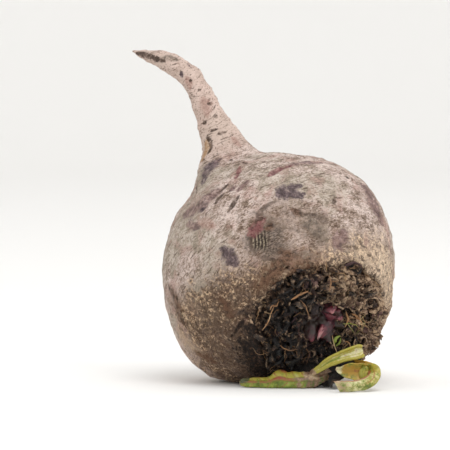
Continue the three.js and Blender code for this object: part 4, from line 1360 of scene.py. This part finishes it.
def broken_stalks(draw, surface):
    """Hollow stalk bases on a surface, broken off short and open at one side."""
    grid, u, v = flat_grid(14, 5)
    shapes = []
    for pixel, radius, height, tone, tint in STUBS.values():
        turn = (u - 0.5) * 5.4 + draw.uniform(-1, 1)
        girth = radius * (0.8 + 0.3 * v + 0.1 * np.sin(2 * turn + draw.uniform(0, 6)))
        foot = seen_at(surface, pixel) - 0.8 * CROWN_AXIS
        ring = np.cos(turn)[:, None] * CROWN_RIGHT + np.sin(turn)[:, None] * CROWN_UP
        torn = height * v * (1 + 0.25 * np.sin(turn * 3 + draw.uniform(0, 6)))
        points = foot + girth[:, None] * ring + torn[:, None] * CROWN_AXIS
        fields = {"tone": tone - 0.5 * (1 - v), "tint": np.full(len(u), tint), "rise": v}
        shapes.append((points, fields))
    return shaped_copies(grid, shapes)


def stalk_scar(place):
    """The open scar of a young stalk: a dish with a purple upper rim, painted near black inside as shade and
    light grey at its lower left as painted light.
    """
    grid, u, v = flat_grid(12, 8)
    facing = unit(VIEW_BACK + 0.6 * CROWN_AXIS)
    right = unit(np.cross([0, 0, 1], facing))
    up = np.cross(facing, right)
    across, rise = 2 * u - 1, 2 * v - 1
    round_across = across * np.sqrt(1 - rise**2 / 2)
    round_rise = rise * np.sqrt(1 - across**2 / 2)
    reach = np.hypot(round_across, round_rise)
    flat = STALK_SCAR_SIZE[0] * round_across[:, None] * right + STALK_SCAR_SIZE[1] * round_rise[:, None] * up
    points = place + flat + (1.8 * reach**2 + 0.1)[:, None] * facing
    # Painted light and shade in the dish: light grey on the lower left of its inside, near black elsewhere
    # inside.
    grey = smooth_step(-0.8 * round_rise - 0.6 * round_across, 0.05, 0.6)
    rim = smooth_step(reach, 0.55, 0.85) * smooth_step(round_rise, -0.3, 0.2)
    fields = {"tone": 0.05 + 0.85 * grey + 0.35 * rim, "tint": 1.6 * rim - 0.5, "rise": 0.7 * reach * grey}
    return shaped_copies(grid, [(points, fields)])


def shade_hanging_bases():
    """Dark dead leaf bases that hang from under the crown to the floor, a dark sheet that stands in for the
    shadow there.
    """
    grid, u, v = flat_grid(12, 16)
    shapes = []
    for top, bottom, width in SHADE_HANGING_BASES:
        top, bottom = np.array(top, float), np.array(bottom, float)
        middle = top + (bottom - top) * v[:, None] + np.array([0, -0.8, 0]) * np.sin(math.pi * v)[:, None]
        across = (u - 0.5) * width * (1 - 0.2 * v)
        points = middle + across[:, None] * np.array([1, 0, 0])
        points[:, 1] += 1.2 * uneven(points, 3.4, shift=6.0) + 0.12 * across**2
        tone = 0.05 + 0.25 * uneven(points, 5, shift=8.0)
        shapes.append((points, {"tone": tone, "tint": np.full(len(u), -0.3), "rise": 0.3 * v}))
    return shaped_copies(grid, shapes)


class BEET_OT_scales(bpy.types.Operator):
    """Models the thin, ragged dead leaf bases, crumbs and folded stalks round the crown's heart"""

    bl_idname = "beetroot.scales"
    bl_label = "Dead leaf bases"

    def execute(self, context):
        sizes = context.scene.beet_crown
        draw = random.Random(SEED + 1)
        carriers = surface_of(bpy.data.objects["crown_mass"], bpy.data.objects["root_skin"])
        open_scar = seen_at(carriers, STALK_SCAR_PIXEL)
        scales = crown_flakes(draw, flat_grid(5, 4), sizes.scales, FLAKES["scales"], open_scar)
        crumbs = crown_flakes(draw, flat_grid(3, 2), sizes.crumbs, FLAKES["crumbs"], open_scar)
        folds = crown_flakes(draw, flat_grid(8, 6), sizes.folds, FLAKES["folds"], open_scar)
        stubs = joined([broken_stalks(draw, carriers), shade_hanging_bases(), stalk_scar(open_scar)])
        scales = joined([scales, rim_bits(draw, carriers)])
        for piece, height in ((scales, 2.4), (crumbs, 2.4), (folds, 1.6), (stubs, 1.0)):
            points = crumpled(crumpled(points_of(piece), 3.0, height), 1.2, 0.4 * height)
            set_points(piece, above_floor(points, 0.4))
        for piece in (folds, stubs):
            shaped_by(piece, "SOLIDIFY", thickness=0.5 * MM, offset=0)
            shaped_by(piece, "SUBSURF", levels=1, render_levels=1)
        shaped_by(scales, "SOLIDIFY", thickness=0.35 * MM, offset=0)
        shaped_by(crumbs, "SOLIDIFY", thickness=0.5 * MM, offset=0)
        piece = joined([scales, crumbs, folds, stubs])
        roughen(piece, "crumple", 1.6, 0.6)
        set_points(piece, above_floor(kept_in(points_of(piece)), 0.05))
        finished(piece, "crown_scales", dead_leaf_material(), "dead_leaf")
        return {"FINISHED"}


def strands(name, routes, tone):
    """Thin tubes along routes of points and radii in millimetres, as one mesh of one tone."""
    curve = bpy.data.curves.new(name, "CURVE")
    curve.dimensions = "3D"
    curve.bevel_depth = MM
    curve.bevel_resolution = 0
    curve.resolution_u = 3
    curve.use_fill_caps = True
    for route in routes:
        spline = curve.splines.new("NURBS")
        spline.points.add(len(route) - 1)
        spline.order_u = 3
        spline.use_endpoint_u = True
        for point, (place, radius) in zip(spline.points, route):
            point.co = (*(np.array(place) * MM), 1)
            point.radius = radius
    piece = bpy.data.objects.new(name, curve)
    bpy.context.scene.collection.objects.link(piece)
    pick(piece)
    bpy.ops.object.convert(target="MESH")
    set_field(piece, "tone", np.full(len(piece.data.vertices), tone))
    return piece


def wandering(draw, start, way, length, radius, waver, steps=6):
    """A strand's route from a start: it wanders from its way and thins out to its end."""
    place = np.array(start, float)
    way = unit(way)
    route = []
    for step in range(steps + 1):
        route.append((tuple(place), radius * (1 - 0.75 * step / steps)))
        way = unit(way + waver * any_way(draw))
        place = above_floor(place + way * length / steps, radius + 0.1)
    return route


class BEET_OT_fibres(bpy.types.Operator):
    """Models the dry fibres that stand out of the crown"""

    bl_idname = "beetroot.fibres"
    bl_label = "Crown fibres"

    def execute(self, context):
        draw = random.Random(SEED + 2)
        groups = {tone: [] for tone in FIBRE_TONES}
        while sum(map(len, groups.values())) < context.scene.beet_crown.fibres:
            share = draw.random()
            azimuth = draw.uniform(-math.pi, math.pi)
            foot, outward = crown_place(8 + 19 * math.sqrt(share), azimuth, draw.uniform(-2.5, 0))
            if foot[2] < 1 or near_leaves(foot[None, :], FIBRE_CLEARANCE):
                continue
            sideways = np.cross(CROWN_AXIS, outward)
            way = 0.15 * CROWN_AXIS + 0.4 * share * outward + draw.uniform(-1, 1) * sideways
            route = wandering(draw, foot, way, draw.uniform(2.5, 7), draw.uniform(0.08, 0.2), 0.4)
            places = np.array([place for place, _ in route])
            if np.hypot(*across_crown(places)).max() > FIBRE_SPREAD:
                continue
            groups[draw.choice(list(groups))].append(route)
        pieces = [strands("crown_fibres", routes, tone) for tone, routes in groups.items()]
        under = ("crown_mass", "crown_scales", "root_skin")
        laid_on = surface_of(*[bpy.data.objects[name] for name in under])
        nest = []
        for _ in range(NEST["count"]):
            turn = draw.uniform(0, 2 * math.pi)
            reach = np.array([math.cos(turn), math.sin(turn)]) * draw.uniform(4, 8)
            middle = np.array(NEST["pixel"]) + [draw.uniform(-1, 1) * 0.7 * half for half in NEST["spread"]]
            bent = middle + np.array([-reach[1], reach[0]]) * draw.uniform(-0.35, 0.35)
            nest.append(([middle - reach, bent, middle + reach], 0.12, draw.uniform(0.5, 1.05)))
        for pixels, radius, tone in [*STRANDS.values(), *nest]:
            places = np.array([seen_at(laid_on, pixel) for pixel in pixels])
            depths = places @ VIEW_BACK
            # The strand bridges the hollows between the bits that it lies on.
            places = places + (0.7 * (depths.max() - depths) + radius)[:, None] * VIEW_BACK
            places = along_route(places, len(STRAND_TAPER))
            places[1:-1] += [0.13 * any_way(draw) for _ in places[1:-1]]
            sizes = radius * np.array(STRAND_TAPER)
            route = [(tuple(place), size) for place, size in zip(places, sizes)]
            pieces.append(strands("crown_fibres", [route], tone))
        finished(joined(pieces), "crown_fibres", fibre_material(), "dead_leaf")
        return {"FINISHED"}


class BEET_OT_buds(bpy.types.Operator):
    """Models the heart's buds with the young sheaths wrapped round them"""

    bl_idname = "beetroot.buds"
    bl_label = "Heart buds"

    def execute(self, context):
        draw = random.Random(SEED + 3)
        heart = copy_of("heart_buds")
        shaped_by(heart, "REMESH", mode="VOXEL", voxel_size=0.3 * MM)
        shaped_by(heart, "SMOOTH", factor=0.5, iterations=8)
        points = points_of(heart)
        set_points(heart, points + normals_of(heart) * (0.25 * uneven(points, 2.2))[:, None])
        out = (points - BODY_CENTRE) @ CROWN_AXIS
        # The heart lightens the further it stands out, up to the painted highlight on its top.
        set_field(heart, "rise", smooth_step(out, 38, 48))
        set_field(heart, "age", 0.5 + 0.4 * uneven(points, 3))
        grid, u, v = flat_grid(14, 10)
        shapes = []
        for bud in BUDS:
            for sheath in range(3):
                turn = draw.uniform(0, 2 * math.pi) + sheath * 2.1
                hug = draw.uniform(1.1, 1.7)
                girth = bud["radius"] * (1 + 0.06 * sheath)
                rise = v * bud["length"] * draw.uniform(0.72, 1.02)
                dome = np.sqrt(np.clip(1 - (0.99 * v) ** 3, 0, 1))
                spread = (u - 0.5) * 2 * hug * (1 - 0.25 * v) + turn
                arm = girth * dome * (1 + 0.07 * np.cos(4 * spread + 2 * v))
                bend = rise**2 / bud["length"]
                right = bud["at"][0] + bud["lean"][0] * bend + arm * np.cos(spread)
                up = bud["at"][1] + bud["lean"][1] * bend + arm * np.sin(spread)
                points = on_crown(right[:, None], up[:, None], (HEART_TOP - 1 + rise)[:, None])
                age = draw.choice([-0.3, -0.1, 0, 0.3]) + 0.3 * v**3
                # Sheaths lighten towards their tips, partly as painted highlight.
                shapes.append((points, {"rise": v * draw.uniform(0.3, 1.05), "age": age}))
        sheaths = shaped_copies(grid, shapes)
        shaped_by(sheaths, "SOLIDIFY", thickness=0.4 * MM, offset=0)
        shaped_by(sheaths, "SUBSURF", levels=1, render_levels=1)
        roughen(sheaths, "bud_folds", 1.8, 0.7)
        material = bud_material()
        finished(heart, "heart", material, "bud_flesh", "heart_buds")
        finished(sheaths, "bud_sheaths", material, "bud_flesh")
        return {"FINISHED"}


def along_route(rows, count):
    """Rows of numbers interpolated smoothly through their stations."""
    rows = np.array(rows, float)
    padded = np.vstack([2 * rows[0] - rows[1], rows, 2 * rows[-1] - rows[-2]])
    place = np.linspace(0, len(rows) - 1, count)
    start = np.minimum(place.astype(int), len(rows) - 2)
    t = (place - start)[:, None]
    a, b, c, d = (padded[start + i] for i in range(4))
    return 0.5 * (2 * b + (c - a) * t + (2 * a - 5 * b + 4 * c - d) * t**2 + (3 * b - a - 3 * c + d) * t**3)


def leaf_fields(name, run, side):
    """Where a leaf is yellow, orange, pale, rusty, withered or dead, by its run and across it."""
    fields = {key: np.zeros(len(run)) for key in LEAF_FIELDS[2:]}
    upper = smooth_step(side, -0.1, 0.25)
    if name == "leaf_long":
        # The run is 25 where the blade leaves the crown's shade and 53 at its tip.
        fields["veined"] = 0.7 + 0.25 * upper
        fields["yellow"] = 0.75 * upper
        fields["orange"] = 0.6 * smooth_step(side, 0.6, 0.95) * smooth_step(run, 25, 30)
        fields["rust"] = 0.75 * hump(run, 35, 3.4) * hump(side, 0.1, 0.16)
        fields["rust"] += 0.6 * hump(run, 34.4, 1) * smooth_step(side, 0.3, 0.8)
        ridge = hump(side, 0.05, 0.22) * smooth_step(run, 32, 28)
        brown_spot = hump(run, 28, 1.2) * smooth_step(side, 0, -0.3)
        shaded = smooth_step(run, 27, 24.6) * (0.72 + 0.28 * upper)
        fields["withered"] = np.max([0.8 * ridge, 0.7 * brown_spot, shaded, smooth_step(run, 19, 16)], axis=0)
        fields["dead"] = smooth_step(run, 46.4, 48.6) * smooth_step(side, -0.3, 0.2)
    elif name == "leaf_stalk":
        # The run is 19 at the thin front end and 38 at the cut end.
        groove = smooth_step(np.abs(side - 0.06), 0.32, 0.12)
        line = hump(side, 0, 0.2) * smooth_step(run, 32, 29)
        ridges = hump(np.abs(side), 0.55, 0.22)
        fields["yellow"] = 1 - 1.1 * line
        fields["pale"] = np.maximum(groove * smooth_step(run, 28, 33) * 1.6, 0.55 * ridges)
        fields["withered"] = smooth_step(run, 20, 18)
    elif name == "leaf_curled":
        # The run is 25 at the back of the curl, 34 at its right side and 53 at the cut front end.
        front = smooth_step(run, 38, 42)
        inner_edge = smooth_step(side, -0.5, -0.85) * smooth_step(run, 25, 28)
        fields["veined"] = 0.5 * (1 - front) + 0.15
        fields["yellow"] = 0.55 - 0.1 * front
        fields["orange"] = 0.9 * smooth_step(run, 30, 25)
        fields["rust"] = 0.6 * inner_edge
        fields["withered"] = 0.5 * front * hump(run, 50, 4)
        fields["rust"] += 0.9 * hump(run, 30.5, 3) * smooth_step(side, 0.1, -0.6)
        fields["pale"] = 0.36 * smooth_step(run, 30, 34) + 0.18 * front
    elif name == "leaf_fold":
        middle = hump(side, 0, 0.5)
        fields["orange"] = 0.55 + 0.4 * middle
        fields["yellow"] = 0.65 + 0 * run
        fields["rust"] = 0.35 * middle
        fields["pale"] = smooth_step(run, 9.5, 12)
        fields["veined"] = 0.3 + 0 * run
    else:
        fields["yellow"] = 0.7 + 0 * run
        fields["rust"] = 0.5 * smooth_step(side, 0.5, 0.9)
    return fields


def blade(name):
    """A young leaf's blade laid along its route, with its rib, its pleats and uneven edges."""
    shape = LEAF_SHAPES[name]
    rows = LEAF_ROUTES[name]
    columns, count = 16, 14 * (len(rows) - 1)
    piece, u, v = flat_grid(columns, count)
    step = np.round(v * count).astype(int)
    stations = along_route(rows, count + 1)
    centre, width, facing = stations[:, :3], stations[:, 3], stations[:, 4:]
    way = unit(np.gradient(centre, axis=0))
    facing = unit(facing - np.sum(facing * way, axis=1, keepdims=True) * way)
    back = np.cross(facing, way)
    length = np.concatenate([[0], np.cumsum(np.linalg.norm(np.diff(centre, axis=0), axis=1))])
    run = length[step]
    side = 2 * u - 1
    edge = np.stack([run / 3.2, np.sign(side) * 4 + 10, np.full(len(run), len(name))], axis=1)
    half = width[step] / 2 * (1 + shape["ragged"] * uneven(edge, 1) * np.abs(side))
    curve = shape["channel"]
    lateral = half * np.sin(curve * side) / math.sin(curve)
    cup = half * (1 - np.cos(curve * side)) / math.sin(curve)
    if "turns_over" in shape:
        cup = cup * (1 - 1.6 * smooth_step(run, *shape["turns_over"]))
    lift = shape["rib"] * hump(side, 0, 0.18) - cup
    lift += shape["wave"] * side * np.sin(run * 0.9)
    pleat = np.abs(np.sin(math.pi * (run - 2.2 * np.abs(side)) / VEIN_GAP))
    lift += shape["pleat"] * pleat * np.minimum(np.abs(side) * 1.6, 1)
    flat = centre[step] + facing[step] * lateral[:, None]
    points = flat + back[step] * (lift + 0.12 * uneven(flat, 2))[:, None]
    slant = shape.get("slant", 0) * (side + 1) / 2 * smooth_step(run, length[-1] - 6, length[-1])
    points = points - way[step] * slant[:, None]
    set_points(piece, above_floor(points, shape["thickness"] / 2))
    set_field(piece, "along", run)
    set_field(piece, "across", side)
    set_weights(piece, "thick", 1 - 0.6 * side**2)
    shaped_by(
        piece, "SOLIDIFY", thickness=shape["thickness"] * MM, offset=0, vertex_group="thick",
        thickness_vertex_group=0.25,
    )
    shaped_by(piece, "SUBSURF", levels=1, render_levels=1)
    for key, values in leaf_fields(name, field_of(piece, "along"), field_of(piece, "across")).items():
        set_field(piece, key, values)
    return piece


class BEET_OT_leaves(bpy.types.Operator):
    """Models the three young leaves along their routes"""

    bl_idname = "beetroot.leaves"
    bl_label = "Young leaves"

    def execute(self, context):
        material = leaf_material()
        finished(blade("leaf_long"), "leaf_long_blade", material, "young_leaf", "leaf_long")
        finished(blade("leaf_stalk"), "leaf_stalk_blade", material, "leaf_stalk", "leaf_stalk")
        curled = joined([blade("leaf_curled"), blade("leaf_fold"), blade("leaf_lobe")])
        finished(curled, "leaf_curled_blade", material, "young_leaf", "leaf_curled")
        return {"FINISHED"}


class BEET_OT_rootlets(bpy.types.Operator):
    """Models the fine rootlets left on the skin and at the taproot's end"""

    bl_idname = "beetroot.rootlets"
    bl_label = "Rootlets"

    def execute(self, context):
        draw = random.Random(SEED + 4)
        skin = bpy.data.objects["root_skin"]
        points, outward = points_of(skin), normals_of(skin)
        _, angle = crown_polar(points)
        free = np.flatnonzero((angle > 58) & (points[:, 2] > 3))
        routes = []
        for _ in range(ROOTLETS):
            index = draw.choice(free)
            slant = unit(any_way(draw))
            way = 0.6 * outward[index] + slant
            start = points[index] - 0.2 * outward[index]
            routes.append(wandering(draw, start, way, draw.uniform(0.5, 1.7), 0.06, 0.35, steps=4))
        finished(strands("rootlets", routes, 0.3), "rootlets", fibre_material(), "root_skin")
        return {"FINISHED"}


class BEET_OT_stage(bpy.types.Operator):
    """Makes the floor, the lights and the camera"""

    bl_idname = "beetroot.stage"
    bl_label = "Stage"

    def execute(self, context):
        stage = context.scene.beet_stage
        bpy.ops.object.select_all(action="DESELECT")
        radius, bend, steps = FLOOR["radius"], FLOOR["bend"], FLOOR["steps"]
        bpy.ops.mesh.primitive_circle_add(vertices=128, radius=radius, fill_type="NGON")
        floor = context.active_object
        floor.name = "floor"
        bpy.ops.object.mode_set(mode="EDIT")
        bpy.ops.mesh.select_all(action="SELECT")
        bpy.ops.mesh.select_mode(type="EDGE")
        for step in range(steps):
            turn = (step + 1) / steps * math.pi / 2
            before = step / steps * math.pi / 2
            rise = bend * (math.cos(before) - math.cos(turn))
            grow = (radius + bend * math.sin(turn)) / (radius + bend * math.sin(before))
            bpy.ops.mesh.extrude_edges_move(TRANSFORM_OT_translate={"value": (0, 0, rise)})
            bpy.ops.transform.resize(value=(grow, grow, 1), center_override=(0, 0, 0))
        bpy.ops.mesh.extrude_edges_move(TRANSFORM_OT_translate={"value": (0, 0, FLOOR["wall"])})
        bpy.ops.object.mode_set(mode="OBJECT")
        bpy.ops.object.shade_smooth()
        floor.data.materials.append(floor_material())
        aim = Vector(VIEW_CENTRE) * MM
        for name, (at, size, power) in LIGHTS.items():
            turn = (aim - Vector(at)).to_track_quat("-Z", "Y").to_euler()
            bpy.ops.object.light_add(type="AREA", location=at, rotation=turn)
            light = context.active_object
            light.name = name
            light.data.size = size
            light.data.energy = getattr(stage, power)
        world = bpy.data.worlds.new("studio")
        world.use_nodes = True
        background = world.node_tree.nodes["Background"]
        background.inputs["Color"].default_value = (1, 1, 1, 1)
        background.inputs["Strength"].default_value = stage.sky
        context.scene.world = world
        bpy.ops.object.camera_add(location=VIEW_EYE * MM, rotation=(math.pi / 2 - VIEW_TILT, 0, 0))
        camera = context.active_object
        camera.name = "photo_camera"
        camera.data.sensor_width = SENSOR_WIDTH
        camera.data.lens = SENSOR_WIDTH * VIEW_DISTANCE / (PICTURE_PIXELS * MM_PER_PIXEL)
        context.scene.camera = camera
        context.scene.view_settings.view_transform = "Standard"
        return {"FINISHED"}


class BEET_PT_panel(bpy.types.Panel):
    """The beetroot's pieces and their settings"""

    bl_label = "Beetroot"
    bl_idname = "BEET_PT_panel"
    bl_space_type = "VIEW_3D"
    bl_region_type = "UI"
    bl_category = "Beetroot"

    def draw(self, context):
        for operator in OPERATORS:
            self.layout.operator(operator.bl_idname)
        for name, group in SETTINGS.items():
            box = self.layout.box()
            box.label(text=group.__doc__)
            for setting in group.__annotations__:
                box.prop(getattr(context.scene, name), setting)


SETTINGS = {
    "beet_skin": SkinSettings,
    "beet_crown": CrownSettings,
    "beet_leaf": LeafSettings,
    "beet_stage": StageSettings,
}
OPERATORS = (
    BEET_OT_skin,
    BEET_OT_crown,
    BEET_OT_scales,
    BEET_OT_fibres,
    BEET_OT_buds,
    BEET_OT_leaves,
    BEET_OT_rootlets,
    BEET_OT_stage,
)


def register():
    for kind in (*SETTINGS.values(), *OPERATORS, BEET_PT_panel):
        bpy.utils.register_class(kind)
    for name, group in SETTINGS.items():
        setattr(bpy.types.Scene, name, bpy.props.PointerProperty(type=group))


def unregister():
    for name in SETTINGS:
        delattr(bpy.types.Scene, name)
    for kind in reversed((*SETTINGS.values(), *OPERATORS, BEET_PT_panel)):
        bpy.utils.unregister_class(kind)


def main():
    register()
    for operator in OPERATORS:
        group, name = operator.bl_idname.split(".")
        getattr(getattr(bpy.ops, group), name)()


if __name__ == "__main__":
    main()
